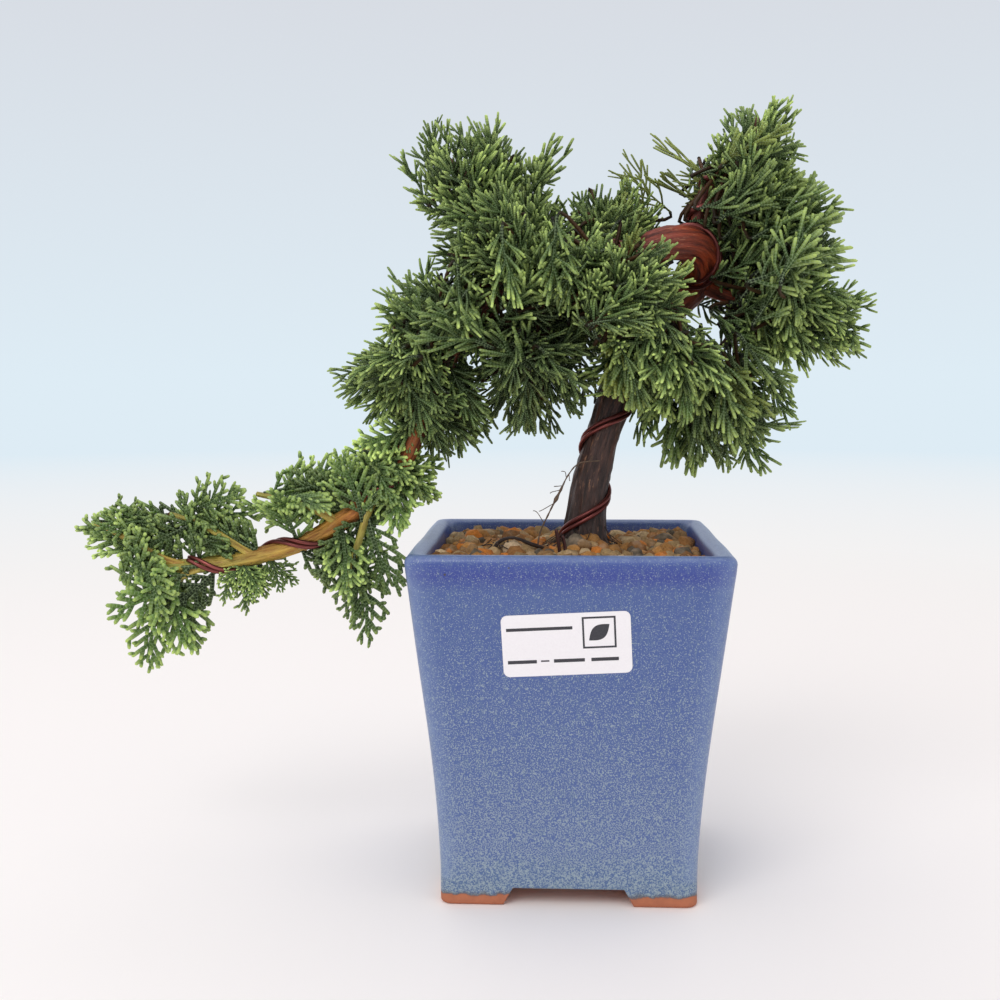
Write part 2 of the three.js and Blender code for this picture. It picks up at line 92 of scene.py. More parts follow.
# Puts one surface part into a mesh: quads come first, then triangles, and every face is smooth.
def makeMesh(name, part, sharpAngle=None):
    mesh = bpy.data.meshes.new(name)
    corners = np.concatenate([part["quads"].ravel(), part["triangles"].ravel()]).astype(np.int32)
    quadCount, triangleCount = len(part["quads"]), len(part["triangles"])
    starts = np.concatenate([np.arange(quadCount) * 4, quadCount * 4 + np.arange(triangleCount) * 3])
    mesh.vertices.add(len(part["points"]))
    mesh.vertices.foreach_set("co", part["points"].astype(np.float32).ravel())
    mesh.loops.add(len(corners))
    mesh.loops.foreach_set("vertex_index", corners)
    mesh.polygons.add(len(starts))
    mesh.polygons.foreach_set("loop_start", starts.astype(np.int32))
    mesh.update(calc_edges=True)
    if "uvQuads" in part:
        uv = np.concatenate([part["uvQuads"].reshape(-1, 2), part["uvTriangles"].reshape(-1, 2)])
        layer = mesh.uv_layers.new(name="surface")
        layer.data.foreach_set("uv", uv.astype(np.float32).ravel())
    for label, values in part["values"].items():
        if values.ndim == 2:
            attribute = mesh.attributes.new(label, "FLOAT_COLOR", "POINT")
            colour = np.concatenate([values, np.ones((len(values), 1))], axis=1)
            attribute.data.foreach_set("color", colour.astype(np.float32).ravel())
        else:
            attribute = mesh.attributes.new(label, "FLOAT", "POINT")
            attribute.data.foreach_set("value", values.astype(np.float32))
    mesh.shade_smooth()
    if sharpAngle is not None:
        mesh.set_sharp_from_angle(angle=math.radians(sharpAngle))
    return mesh


def addPiece(name, part, material, nodes=(), sharpAngle=None):
    piece = bpy.data.objects.new(name, makeMesh(name, part, sharpAngle))
    bpy.context.scene.collection.objects.link(piece)
    piece.data.materials.append(material)
    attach(piece, "root")
    if nodes:
        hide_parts(*nodes)


def unit(vectors):
    return vectors / np.maximum(np.linalg.norm(vectors, axis=-1, keepdims=True), 1e-12)


# Directions along each path, and a normal and binormal carried along it: each normal is the last one
# with its share along the new direction taken out. The first is square to the direction's least axis.
def carryFrames(paths):
    tangents = unit(np.gradient(paths, axis=1))
    first = tangents[:, 0]
    least = np.eye(3)[np.argmin(np.abs(first), axis=1)]
    normals = np.empty_like(paths)
    normals[:, 0] = unit(np.cross(first, np.cross(first, least)))
    for step in range(1, paths.shape[1]):
        last = normals[:, step - 1]
        along = np.sum(last * tangents[:, step], axis=1, keepdims=True)
        normals[:, step] = unit(last - along * tangents[:, step])
    return tangents, normals, np.cross(tangents, normals)


# Many tubes at once. A point is path + radius * (cos turn * normal + sin turn * binormal); one more point
# closes each end, pushed out by bulge radii. paths (n, m, 3), radii (n, m) or (n, m, sides), values (n, m) or
# (n, m, 3). A grained tube, in metres, has a grain for streaks without a seam: the spoke's direction times
# the radius, and the length, in millimetres. Another has the turn and the length along it as its uv.
def tubes(paths, radii, sides, values, bulge=0.5, grained=False):
    count, rings = paths.shape[:2]
    tangents, normals, binormals = carryFrames(paths)
    turn = np.arange(sides) / sides * 2 * math.pi
    if radii.ndim == 2:
        radii = np.repeat(radii[:, :, None], sides, axis=2)
    spoke = np.cos(turn)[:, None] * normals[:, :, None] + np.sin(turn)[:, None] * binormals[:, :, None]
    ring = (paths[:, :, None] + radii[..., None] * spoke).reshape(count, -1, 3)
    low = paths[:, 0] - tangents[:, 0] * radii[:, 0].mean(1)[:, None] * bulge
    high = paths[:, -1] + tangents[:, -1] * radii[:, -1].mean(1)[:, None] * bulge
    quads, fans = stackFaces(rings, sides)
    perTube = rings * sides + 2
    part = {
        "points": np.concatenate([ring, low[:, None], high[:, None]], axis=1).reshape(-1, 3),
        "quads": copyFaces(quads, count, perTube), "triangles": copyFaces(fans, count, perTube), "values": {},
    }
    for name, value in values.items():
        onRings = np.repeat(value[:, :, None], sides, axis=2)
        flat = onRings.reshape((count, rings * sides) + value.shape[2:])
        onAll = np.concatenate([flat, value[:, :1], value[:, -1:]], axis=1)
        part["values"][name] = onAll.reshape((-1,) + value.shape[2:])
    steps = np.linalg.norm(np.diff(paths, axis=1), axis=2)
    length = np.concatenate([np.zeros((count, 1)), np.cumsum(steps, axis=1)], axis=1)
    if grained:
        reach = radii.mean(2)[:, :, None] / mm
        along = np.repeat(length[:, :, None] / mm, sides, axis=2)
        grain = np.stack([np.cos(turn) * reach, np.sin(turn) * reach, along], axis=-1).reshape(count, -1, 3)
        part["values"]["grain"] = np.concatenate([grain, grain[:, :1], grain[:, -1:]], axis=1).reshape(-1, 3)
        return part
    side = np.arange(sides)
    around = np.stack([side, side + 1, side + 1, side], axis=-1) / sides
    level = np.stack([length[:, :-1], length[:, :-1], length[:, 1:], length[:, 1:]], axis=-1)[:, :, None]
    fanAround = np.concatenate([
        np.stack([side + 1, side, side + 0.5], axis=-1), np.stack([side, side + 1, side + 0.5], axis=-1)
    ]) / sides
    fanLevel = np.repeat(length[:, [0, -1]], sides, axis=1)[:, :, None]
    for corners, across, up, shape in (
        ("uvQuads", around, level, (count, rings - 1, sides, 4)),
        ("uvTriangles", fanAround, fanLevel, (count, 2 * sides, 3)),
    ):
        uv = np.stack([np.broadcast_to(across, shape), np.broadcast_to(up, shape)], axis=-1)
        part[corners] = uv.reshape(-1, shape[-1], 2)
    return part


# Smooth curve through given points: a cubic between each pair whose end slopes come from the
# neighbours, weighted by the square roots of the distances, then spaced evenly along its length.
def smoothRoute(route, count):
    points = np.array(route, float)
    points = np.concatenate([[2 * points[0] - points[1]], points, [2 * points[-1] - points[-2]]])
    gaps = np.sqrt(np.linalg.norm(np.diff(points, axis=0), axis=1))[:, None]
    before, here, there, after = points[:-3], points[1:-2], points[2:-1], points[3:]
    gapBefore, gapHere, gapAfter = gaps[:-2], gaps[1:-1], gaps[2:]
    straight = (there - here) / gapHere
    slopeHere = (here - before) / gapBefore - (there - before) / (gapBefore + gapHere) + straight
    slopeThere = straight - (after - here) / (gapHere + gapAfter) + (after - there) / gapAfter
    slopeHere, slopeThere = slopeHere * gapHere, slopeThere * gapHere
    share = np.linspace(0, 1, 40, endpoint=False)[None, :, None]
    a, b = here[:, None], there[:, None]
    m, n = slopeHere[:, None], slopeThere[:, None]
    curve = (
        (2 * share ** 3 - 3 * share ** 2 + 1) * a + (share ** 3 - 2 * share ** 2 + share) * m
        + (3 * share ** 2 - 2 * share ** 3) * b + (share ** 3 - share ** 2) * n
    ).reshape(-1, 3)
    curve = np.concatenate([curve, points[-2:-1]])
    length = np.concatenate([[0], np.cumsum(np.linalg.norm(np.diff(curve, axis=0), axis=1))])
    even = np.linspace(0, length[-1], count)
    return np.stack([np.interp(even, length, curve[:, axis]) for axis in range(3)], axis=1)


def toFrame(places):
    return treeFoot + np.asarray(places) * mm


class Shader:
    # a short way to build one node tree: add() makes a node, link() joins sockets
    def __init__(self, name):
        self.material = bpy.data.materials.new(name)
        self.material.use_nodes = True
        self.tree = self.material.node_tree
        self.surface = self.tree.nodes["Principled BSDF"]
        self.place = self.add("ShaderNodeTexCoord").outputs["Object"]

    def add(self, kind, **settings):
        node = self.tree.nodes.new(kind)
        for name, value in settings.items():
            setattr(node, name, value)
        return node

    def link(self, source, target):
        self.tree.links.new(source, target)

    def set(self, **sockets):
        for name, value in sockets.items():
            self.surface.inputs[name.replace("_", " ")].default_value = value

    def feed(self, **sockets):
        for name, source in sockets.items():
            self.link(source, self.surface.inputs[name.replace("_", " ")])

    def math(self, operation, first, second=None, clamp=False):
        node = self.add("ShaderNodeMath", operation=operation, use_clamp=clamp)
        for socket, value in zip(node.inputs, (first, second)):
            if isinstance(value, (int, float)):
                socket.default_value = value
            elif value is not None:
                self.link(value, socket)
        return node.outputs[0]

    def noise(self, vector, scale, detail=3.0, roughness=0.5):
        node = self.add("ShaderNodeTexNoise")
        node.inputs["Scale"].default_value = scale
        node.inputs["Detail"].default_value = detail
        node.inputs["Roughness"].default_value = roughness
        self.link(vector, node.inputs["Vector"])
        return node.outputs["Fac"]

    def stretch(self, vector, scale):
        node = self.add("ShaderNodeMapping")
        node.inputs["Scale"].default_value = scale
        self.link(vector, node.inputs["Vector"])
        return node.outputs["Vector"]

    def ramp(self, factor, stops):
        node = self.add("ShaderNodeValToRGB")
        elements = node.color_ramp.elements
        while len(elements) < len(stops):
            elements.new(0.5)
        for element, (place, colour) in zip(elements, stops):
            element.position = place
            element.color = (*colour, 1)
        self.link(factor, node.inputs["Fac"])
        return node.outputs["Color"]

    # 0 below low, 1 above high, straight between
    def between(self, value, low, high):
        node = self.add("ShaderNodeMapRange", clamp=True)
        node.inputs["From Min"].default_value = low
        node.inputs["From Max"].default_value = high
        self.link(value, node.inputs["Value"])
        return node.outputs["Result"]

    def mix(self, factor, first, second, blend="MIX"):
        node = self.add("ShaderNodeMix", data_type="RGBA", blend_type=blend)
        for socket, value in ((node.inputs[0], factor), (node.inputs[6], first), (node.inputs[7], second)):
            if isinstance(value, (int, float)):
                socket.default_value = value
            elif isinstance(value, tuple):
                socket.default_value = (*value, 1)
            else:
                self.link(value, socket)
        return node.outputs[2]

    def attribute(self, name, output="Fac"):
        return self.add("ShaderNodeAttribute", attribute_name=name).outputs[output]

    def bump(self, height, distance, strength=1.0):
        node = self.add("ShaderNodeBump")
        node.inputs["Distance"].default_value = distance
        node.inputs["Strength"].default_value = strength
        self.link(height, node.inputs["Height"])
        self.feed(Normal=node.outputs["Normal"])


# screen colour, 0 to 255, to the linear colour that a shader takes
def tone(red, green, blue):
    channel = np.array([red, green, blue]) / 255
    linear = np.where(channel <= 0.04045, channel / 12.92, ((channel + 0.055) / 1.055) ** 2.4)
    return tuple(float(value) for value in linear)


# A finish that goes between two tones with a noise, given by its scale, detail and roughness. bump is its
# depth in metres and its strength.
def mottledMaterial(name, first, second, noise, roughness, metallic=0.0, bump=None):
    shader = Shader(name)
    grain = shader.noise(shader.place, *noise)
    shader.feed(Base_Color=shader.mix(grain, tone(*first), tone(*second)))
    shader.set(Roughness=roughness, Metallic=metallic)
    if bump:
        shader.bump(grain, *bump)
    return shader.material


potSizes = {
    "wall": 6.3,
    "cornerRadius": 4.0,
    "rimRounding": 2.6,
    "innerRounding": 3.0,
    "footHeight": 5.6,
    "footLength": 20.5,
    "footSlope": 3.1,
    "floorTop": 12.1,
    "drainRadius": 7.0,
    "flareStart": 0.1,
    "flareEnd": 0.97,
    "flarePower": 1.35,
    "baseHalf": 41.5,
    "waviness": 0.12,
    "footedHeight": 12,  # the wall is lifted between the feet up to here
    "glazeLine": 8,  # the glaze attribute grows from 0 to 1 up to this height
}
potTall = (potHigh[2] - potLow[2]) / mm
potWide = (potHigh[0] - potLow[0]) / mm / 2


# Half width of the wall at a height: the base's, and past flareStart a power curve out to the rim's.
def potHalf(height):
    lean = (height / potTall - potSizes["flareStart"]) / (potSizes["flareEnd"] - potSizes["flareStart"])
    lean = np.clip(lean, 0, 1) ** potSizes["flarePower"]
    return potSizes["baseHalf"] + (potWide - potSizes["baseHalf"]) * lean


# One side of each level of a stack of rounded squares, and three quarter turns of it. Where a level's
# roundness is above 0, its points move towards a circle. The places along a side are fixed near the feet.
def squareRings(half, corner, roundness, fixed, outer=6, arc=8):
    straight = half - corner
    near = fixed[None] * np.minimum(1, straight / (fixed[-1] + 2))
    far = near[:, -1:] + (straight - near[:, -1:]) * np.linspace(0, 1, outer + 1)[None, 1:]
    right = np.concatenate([near, far], axis=1)
    lateral = np.concatenate([-right[:, :0:-1], right], axis=1)
    turn = np.linspace(0, math.pi / 2, arc + 1)[None, 1:-1]
    sideX = np.concatenate([lateral, straight + corner * np.sin(turn)], axis=1)
    sideY = np.concatenate([0 * lateral - half, -straight - corner * np.cos(turn)], axis=1)
    x = np.concatenate([sideX, -sideY, -sideX, sideY], axis=1)
    y = np.concatenate([sideY, sideX, -sideY, -sideX], axis=1)
    angle = np.arctan2(y, x)
    return x + (half * np.cos(angle) - x) * roundness, y + (half * np.sin(angle) - y) * roundness


# The pot is one grid closed both ways: round its square outline, and along a closed section that goes up
# the outer wall, over the rim, down inside, across the floor, down the drain hole and back under the pot.
# The underside and the wall's foot are lifted where the place is between two feet.
def potSurface():
    size = potSizes
    quarter = np.linspace(0, math.pi / 2, 7)
    cosine, sine = np.cos(quarter), np.sin(quarter)

    def levels(heights, halves, corners, roundness=0.0, glazed=0.0):
        return np.column_stack(np.broadcast_arrays(heights, halves, corners, roundness, glazed)).astype(float)

    footed = size["footedHeight"]
    corners, rim, inner = size["cornerRadius"], size["rimRounding"], size["innerRounding"]
    rimStart = potTall - rim
    wallHeights = np.concatenate([np.linspace(2, footed, 11), np.linspace(footed + 3, rimStart, 34)])
    innerHeights = np.linspace(potTall - inner - 4, size["floorTop"], 12)
    lip = potWide - size["wall"] + 0.2
    underHalves = [12.0, 17.6, 20.8, 25.0, 32.0, 38.0]
    section = np.concatenate([
        levels(1 - sine[::-2], size["baseHalf"] - 1 + cosine[::-2], corners - 1 + cosine[::-2], 0, 1),
        levels(wallHeights, potHalf(wallHeights), corners, 0, 1),
        levels(rimStart + rim * sine[1:], potWide - rim * (1 - cosine[1:]), corners, 0, 1),
        levels(potTall - inner * (1 - cosine), lip + inner * (1 - sine), corners, 0, 1),
        levels(innerHeights, potHalf(innerHeights) - size["wall"], corners, 0, 0.7),
        levels(size["floorTop"], [24.0, 12.0], 5.0, [0.3, 0.7]),
        levels([size["floorTop"], 10.0, 7.5, size["footHeight"]], size["drainRadius"], 5.0, 1),
        levels(0, underHalves, 3.0, [0.7, 0, 0, 0, 0, 0]),
    ])
    height, half, corner, roundness, glazed = (column[:, None] for column in section.T)
    notchLow = size["baseHalf"] - size["footLength"]
    notchHigh = notchLow - size["footSlope"]
    fixed = np.array([0, 6, 12, notchHigh, notchHigh + 0.6, notchLow - 0.6, notchLow])
    x, y = squareRings(half, corner, roundness, fixed)

    # how much a place belongs to a foot: 0 between the feet, 1 on them
    onFoot = np.clip((np.minimum(np.abs(x), np.abs(y)) - notchHigh) / size["footSlope"], 0, 1)
    lifted = size["footHeight"] * (1 - onFoot)
    level = np.arange(len(section))[:, None]
    isUnder = level >= len(section) - len(underHalves)
    isWallFoot = (height < footed + 0.01) & (level < 15)
    z = np.where(isUnder, lifted, height + 0 * x)
    z = np.where(isWallFoot, lifted + (footed - lifted) * height / footed, z)
    wave = np.sin(x * 0.11 + 1.3) * np.sin(z * 0.09 + 0.4) + np.sin(y * 0.13 - z * 0.07)
    swell = 1 + size["waviness"] * wave / potWide * (height > 14)
    x, y = x * swell, y * swell
    cornerShare = np.exp(-((np.abs(x) - np.abs(y)) / 5) ** 2) * (z > 8)
    rimShare = np.exp(-((z - potTall) / 1.6) ** 2)
    quads, _ = stackFaces(len(section) + 1, x.shape[1])
    return {
        "points": (np.stack([x, y, z], axis=-1) * mm + potFoot).reshape(-1, 3),
        "quads": quads % x.size,  # the level after the last is the first
        "triangles": np.zeros((0, 3), int),
        "values": {
            "glaze": (glazed * np.clip(z / size["glazeLine"], 0, 1)).ravel(),
            "wear": (np.maximum(cornerShare, rimShare) * (glazed > 0.9)).ravel(),
            "rise": (z / potTall).ravel(),
        },
    }


def glazeMaterial():
    shader = Shader("blueGlaze")
    body = shader.ramp(shader.attribute("rise"), [
        (0.0, tone(84, 110, 136)), (0.09, tone(80, 106, 148)), (0.16, tone(80, 102, 154)),
        (0.9, tone(70, 92, 148)), (0.945, tone(46, 62, 142)), (0.97, tone(52, 70, 144)),
        (1.0, tone(64, 84, 144)),
    ])
    cloud = shader.noise(shader.place, 55, 4, 0.6)
    body = shader.mix(shader.math("MULTIPLY", cloud, 0.3), body, tone(70, 88, 150))
    speckle = shader.noise(shader.place, 2300, 2, 0.7)
    # the pale specks lie closer together lower down
    lower = shader.math("MULTIPLY", shader.math("SUBTRACT", 0.55, shader.attribute("rise")), 0.13)
    pale = shader.between(shader.math("ADD", speckle, lower), 0.52, 0.62)
    body = shader.mix(shader.math("MULTIPLY", pale, 0.62), body, tone(176, 188, 184))
    streak = shader.noise(shader.stretch(shader.place, (900, 900, 260)), 1.0, 2, 0.6)
    green = shader.between(streak, 0.52, 0.72)
    body = shader.mix(shader.math("MULTIPLY", green, 0.18), body, tone(128, 150, 150))
    pinhole = shader.add("ShaderNodeTexVoronoi")
    pinhole.inputs["Scale"].default_value = 150
    shader.link(shader.place, pinhole.inputs["Vector"])
    picked = shader.add("ShaderNodeSeparateColor")
    shader.link(pinhole.outputs["Color"], picked.inputs["Color"])
    dot = shader.math("LESS_THAN", pinhole.outputs["Distance"], 0.07)
    dot = shader.math("MULTIPLY", dot, shader.math("GREATER_THAN", picked.outputs["Red"], 0.93))
    body = shader.mix(dot, body, tone(72, 66, 62))
    scuff = shader.math("MULTIPLY", shader.attribute("wear"), shader.noise(shader.place, 300, 4, 0.7))
    body = shader.mix(shader.math("MULTIPLY", scuff, 0.8), body, tone(140, 158, 190))
    # bare clay below a ragged glaze line and inside the pot
    ragged = shader.math("MULTIPLY", shader.math("SUBTRACT", shader.noise(shader.place, 260, 3), 0.5), 0.5)
    line = shader.math("ADD", shader.attribute("glaze"), ragged)
    glazed = shader.between(line, 0.42, 0.46)
    thin = shader.math("MULTIPLY", shader.between(line, 0.38, 0.44), shader.between(line, 0.60, 0.46))
    clay = shader.mix(shader.noise(shader.place, 400, 4), tone(198, 120, 84), tone(158, 94, 68))
    colour = shader.mix(glazed, clay, body)
    colour = shader.mix(shader.math("MULTIPLY", thin, 0.75), colour, tone(88, 84, 86))
    shader.feed(Base_Color=colour, Roughness=shader.mix(glazed, (0.85, 0.85, 0.85), (0.3, 0.3, 0.3)))
    shader.bump(shader.math("ADD", shader.noise(shader.place, 520, 2), speckle), 0.0001, 0.5)
    return shader.material


addPiece("squarePot", potSurface(), glazeMaterial(), ["pot"], sharpAngle=50)
print("pot: walls, rim and feet")


labelSizes = {
    "width": 40.0, "height": 20.0, "corner": 2.0, "turn": 3.0,
    "thickness": 0.16,
    "sink": 0.24,  # how far in from its solid, onto the glaze
    "ink": 0.03,  # how far the print stands out from the paper, and its back below
    "inkBack": 0.002,
    # left, low, width and height of each bar
    "bars": [
        (-18.5, 4.8, 20.5, 1.0), (-18.5, -5.8, 9.0, 1.1), (-8.2, -5.4, 2.6, 0.5),
        (-4.2, -5.8, 9.6, 1.1), (7.4, -5.8, 8.5, 1.1),
    ],
    "frame": [(5, 8.0, 10.4, 0.6), (5, -1.6, 10.4, 0.6), (5, -1.0, 0.6, 9), (14.8, -1.0, 0.6, 9)],
    "leaf": (8.2, 2.3), "leafTurn": 38, "leafPlace": [10.2, 3.5],
}


# A flat outline with a thickness, and a middle point on each face. Places are across and up the label from
# its middle, and out from its face.
def printedPatch(outline, front, back):
    outline = np.array(outline, float)
    count = len(outline)
    out = np.concatenate([np.full(count, back), np.full(count, front), [back, front]])
    flat = np.concatenate([outline, outline, [outline.mean(0)] * 2])
    quads, fans = stackFaces(2, count)
    return {"points": np.column_stack([flat, out]), "quads": quads, "triangles": fans, "values": {}}


# a rectangle of print from its lower left corner
def printedBar(x, y, width, height):
    outline = [(x, y), (x + width, y), (x + width, y + height), (x, y + height)]
    return printedPatch(outline, labelSizes["ink"], labelSizes["inkBack"])


# Turns label places into the frame: the label lies in the plane of its solid.
def ontoLabel(part):
    low, high = (np.array(corner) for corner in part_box("label"))
    turn = math.radians(labelSizes["turn"])
    tall = labelSizes["height"] * math.cos(turn) + labelSizes["width"] * math.sin(turn)
    lean = math.asin(np.clip(((high - low)[1] / mm - 0.3) / tall, -1, 1))
    out = np.array([0, -math.cos(lean), -math.sin(lean)])
    across = np.array([math.cos(turn), 0, math.sin(turn)])
    across = unit(across - out * np.dot(across, out))
    up = np.cross(out, across)
    places = part["points"] * mm
    sunk = places[:, 2:] - labelSizes["sink"] * mm
    part["points"] = (low + high) / 2 + places[:, :1] * across + places[:, 1:2] * up + sunk * out
    return part


# The paper is a rectangle with arcs at its corners. The print is plain: bars for lines of writing, and a
# leaf between two arcs, belly = width * sin(pi * share), in a square frame.
def labelPieces():
    size = labelSizes
    arc = np.linspace(0, math.pi / 2, 7)
    outline = []
    for signX, signY, start in ((1, 1, 0), (-1, 1, 1), (-1, -1, 2), (1, -1, 3)):
        turn = arc + start * math.pi / 2
        outline.append(np.column_stack([
            signX * (size["width"] / 2 - size["corner"]) + size["corner"] * np.cos(turn),
            signY * (size["height"] / 2 - size["corner"]) + size["corner"] * np.sin(turn),
        ]))
    paper = printedPatch(np.concatenate(outline), 0, -size["thickness"])
    prints = [printedBar(*bar) for bar in size["bars"] + size["frame"]]
    share = np.linspace(0, 1, 14)
    leafLong, leafWide = size["leaf"]
    along = leafLong * (share - 0.5)
    belly = leafWide * np.sin(math.pi * share)
    leaf = np.concatenate([
        np.column_stack([along, -belly]), np.column_stack([along[-2:0:-1], belly[-2:0:-1]])
    ])
    turn = math.radians(size["leafTurn"])
    spin = np.array([[math.cos(turn), math.sin(turn)], [-math.sin(turn), math.cos(turn)]])
    prints.append(printedPatch(leaf @ spin + size["leafPlace"], size["ink"], size["inkBack"]))
    return ontoLabel(paper), ontoLabel(joinParts(prints))


paper = mottledMaterial(
    "labelPaper", (250, 245, 245), (240, 233, 234), (1600, 4, 0.6), 0.5, bump=(0.00003, 0.4)
)
ink = mottledMaterial("labelInk", (40, 38, 44), (70, 68, 74), (2200, 3), 0.6)
paperPart, inkPart = labelPieces()
addPiece("paperLabel", paperPart, paper, ["label"], sharpAngle=30)
addPiece("labelPrint", inkPart, ink, sharpAngle=30)
print("label: paper and plain print")


grainSizes = {
    "spacing": 4.4,
    "radius": 2.75,
    "sizeSpread": 0.34,
    "jitter": 0.32,  # share of the spacing
    "rise": 0.9,  # how far a grain lies above or below its layer at most
    "squash": (0.72, 1.22),
    "lumps": 0.09,
    "sunk": 0.9,  # how far the upper layer's middles lie under the soil's surface
    "trunkClear": 5.4,
    "heap": (4.5, 5, -10, 8),  # height of the heap before the trunk, its middle, and its reach
    "stone": (-19, -10.5, 0.6, 3.8),  # the pale stone under the surface root: its middle and radius
    "stoneTone": tone(206, 180, 146),
    "seed": 7,
}
grainTones = [
    tone(168, 122, 70), tone(186, 134, 74), tone(158, 112, 66), tone(172, 144, 102), tone(196, 170, 130),
    tone(150, 118, 80), tone(206, 128, 58), tone(138, 98, 60), tone(102, 92, 78), tone(162, 134, 94),
]


# Lumpy grains on a jittered six-sided net in two layers. Each grain is a sphere of 8 by 3 points and two
# poles, stretched along three axes, each point moved in or out at random, and the whole turned at random.
def grainsSurface():
    size = grainSizes
    rng = np.random.default_rng(size["seed"])
    reach = potWide - potSizes["wall"]
    step = size["spacing"]
    column, row = np.meshgrid(np.arange(-15, 16), np.arange(-17, 18))
    net = np.stack([(column + row % 2 / 2) * step, row * step * math.sqrt(0.75)], axis=-1).reshape(-1, 2)
    upper = np.column_stack([net, np.full(len(net), -size["sunk"])])
    lower = np.column_stack([net + [step / 2, step / 3], np.full(len(net), -size["sunk"] - step * 0.62)])
    places = np.concatenate([upper, lower])
    places += rng.uniform(-1, 1, places.shape) * [size["jitter"] * step, size["jitter"] * step, size["rise"]]
    inside = np.max(np.abs(places[:, :2]), axis=1) < reach - size["radius"] * 0.8
    clear = np.hypot(places[:, 0] - 5, places[:, 1]) > size["trunkClear"]
    tall, heapX, heapY, heapReach = size["heap"]
    away = np.hypot(places[:, 0] - heapX, places[:, 1] - heapY)
    places[:, 2] += tall * np.exp(-(away / heapReach) ** 2)
    fromStone = np.hypot(places[:, 0] - size["stone"][0], places[:, 1] - size["stone"][1])
    places = places[inside & clear & (fromStone > size["stone"][3] * 0.9)]
    places = np.concatenate([places, [size["stone"][:3]]])
    count = len(places)

    polar = np.radians([42, 90, 138])[:, None]
    turn = np.arange(8) / 8 * 2 * math.pi
    ball = np.stack([
        np.sin(polar) * np.cos(turn), np.sin(polar) * np.sin(turn), np.cos(polar) + 0 * turn
    ], axis=-1).reshape(-1, 3)
    ball = np.concatenate([ball, [[0, 0, 1], [0, 0, -1]]])
    squash = rng.uniform(*size["squash"], (count, 1, 3))
    lump = 1 + rng.normal(0, size["lumps"], (count, len(ball), 1)).clip(-0.3, 0.3)
    wide = size["radius"] * (1 + rng.uniform(-size["sizeSpread"], size["sizeSpread"], (count, 1, 1)))
    wide[-1] = size["stone"][3]
    squash[-1], lump[-1] = 1, 1
    spin, _ = np.linalg.qr(rng.normal(size=(count, 3, 3)))
    spin[:, 0] *= np.sign(np.linalg.det(spin))[:, None]
    body = np.einsum("nij,npj->npi", spin, ball * squash * lump * wide)
    points = toFrame(body + places[:, None])

    palette = np.array(grainTones)[rng.choice(len(grainTones), count)]
    tint = palette * rng.uniform(0.78, 1.2, (count, 1))
    tint[-1] = size["stoneTone"]
    # the rings of a ball go down here, so their faces are turned over
    quads, fans = (faces[:, ::-1] for faces in stackFaces(len(polar), len(turn)))
    return {
        "points": points.reshape(-1, 3),
        "quads": copyFaces(quads, count, len(ball)),
        "triangles": copyFaces(fans, count, len(ball)),
        "values": {"tint": np.repeat(tint, len(ball), axis=0)},
    }


# The bed under the grains: a closed stack of rounded squares that follows the hollow of the pot.
# It stands in for the deeper soil, and its dark brown is painted shade between the grains.
def bedSurface():
    low = potSizes["floorTop"] + 0.5
    high = (soilTop - potLow[2]) / mm - 3.4
    heights = np.concatenate([[low] * 4, np.linspace(low, high, 9), [high] * 4])
    inset = np.concatenate([[38, 26, 14, 6], np.full(9, 0.6), [6, 14, 26, 38]])
    half = (potHalf(heights) - potSizes["wall"] - inset)[:, None]
    corner = np.minimum(3.4, half * 0.8)
    fixed = np.array([0, 8, 16])
    x, y = squareRings(half, corner, 0, fixed, outer=3, arc=4)
    points = np.stack([x, y, heights[:, None] + 0 * x], axis=-1)
    points[-4:, :, 2] += 0.5 * np.sin(x[-4:] * 0.9) * np.sin(y[-4:] * 0.8)
    quads, fans = stackFaces(*x.shape)
    points = np.concatenate([points.reshape(-1, 3), [[0, 0, low], [0, 0, high]]])
    return {"points": points * mm + potFoot, "quads": quads, "triangles": fans, "values": {}}


def grainMaterial():
    shader = Shader("soilGrains")
    grit = shader.noise(shader.place, 900, 5, 0.7)
    colour = shader.mix(shader.between(grit, 0.3, 0.7), (0.62, 0.58, 0.55), (1.25, 1.22, 1.2))
    colour = shader.mix(1.0, shader.attribute("tint", "Color"), colour, "MULTIPLY")
    dust = shader.between(shader.noise(shader.place, 240, 3), 0.52, 0.75)
    colour = shader.mix(shader.math("MULTIPLY", dust, 0.4), colour, tone(206, 178, 150))
    shader.feed(Base_Color=colour)
    shader.set(Roughness=0.92, Specular_IOR_Level=0.25)
    shader.bump(grit, 0.00035, 0.8)
    return shader.material


# the bed's dark brown: deeper soil, darkened as painted shade where it shows between the grains
soilBedShade = mottledMaterial("soilBedShade", (58, 40, 28), (120, 84, 56), (500, 4, 0.6), 0.95, bump=(0.0005, 0.8))
addPiece("soilGrains", grainsSurface(), grainMaterial(), ["soil"])
addPiece("soilBed", bedSurface(), soilBedShade, ["soil"], sharpAngle=60)
print("soil: grains over their bed")


woodSizes = {
    "trunkSides": 48,
    "trunkRings": 460,
    "branchSides": 12,
    "branchRings": 44,
    "ridges": 0.11,  # share of the radius
    "branchRidges": 0.09,
    "swellings": 0.07,
    "flare": 0.22,
    "flareHeight": 7,
    "collar": 0.6,
    "seed": 11,
}
trunkRoute = [
    [4, 0, -16], [5, 0, -4], [5.5, 0, 8], [7, 0, 21], [9.5, 0, 32], [13, 1, 44], [18, 4, 57],
    [26, 8, 70], [35, 11, 83], [42, 9, 91], [44, 0, 97], [40, -10, 102], [31, -15, 102], [18, -15, 98],
    [5, -13, 96], [-9, -11, 92], [-23, -9, 86], [-35, -8, 76], [-43, -8, 62], [-48, -10, 49],
    [-53, -12, 37], [-58, -12, 28], [-66, -13, 19], [-78, -14, 10], [-91, -14, 3], [-105, -14, -1],
    [-120, -14, -4], [-132, -14, -5], [-143, -14, -5],
]
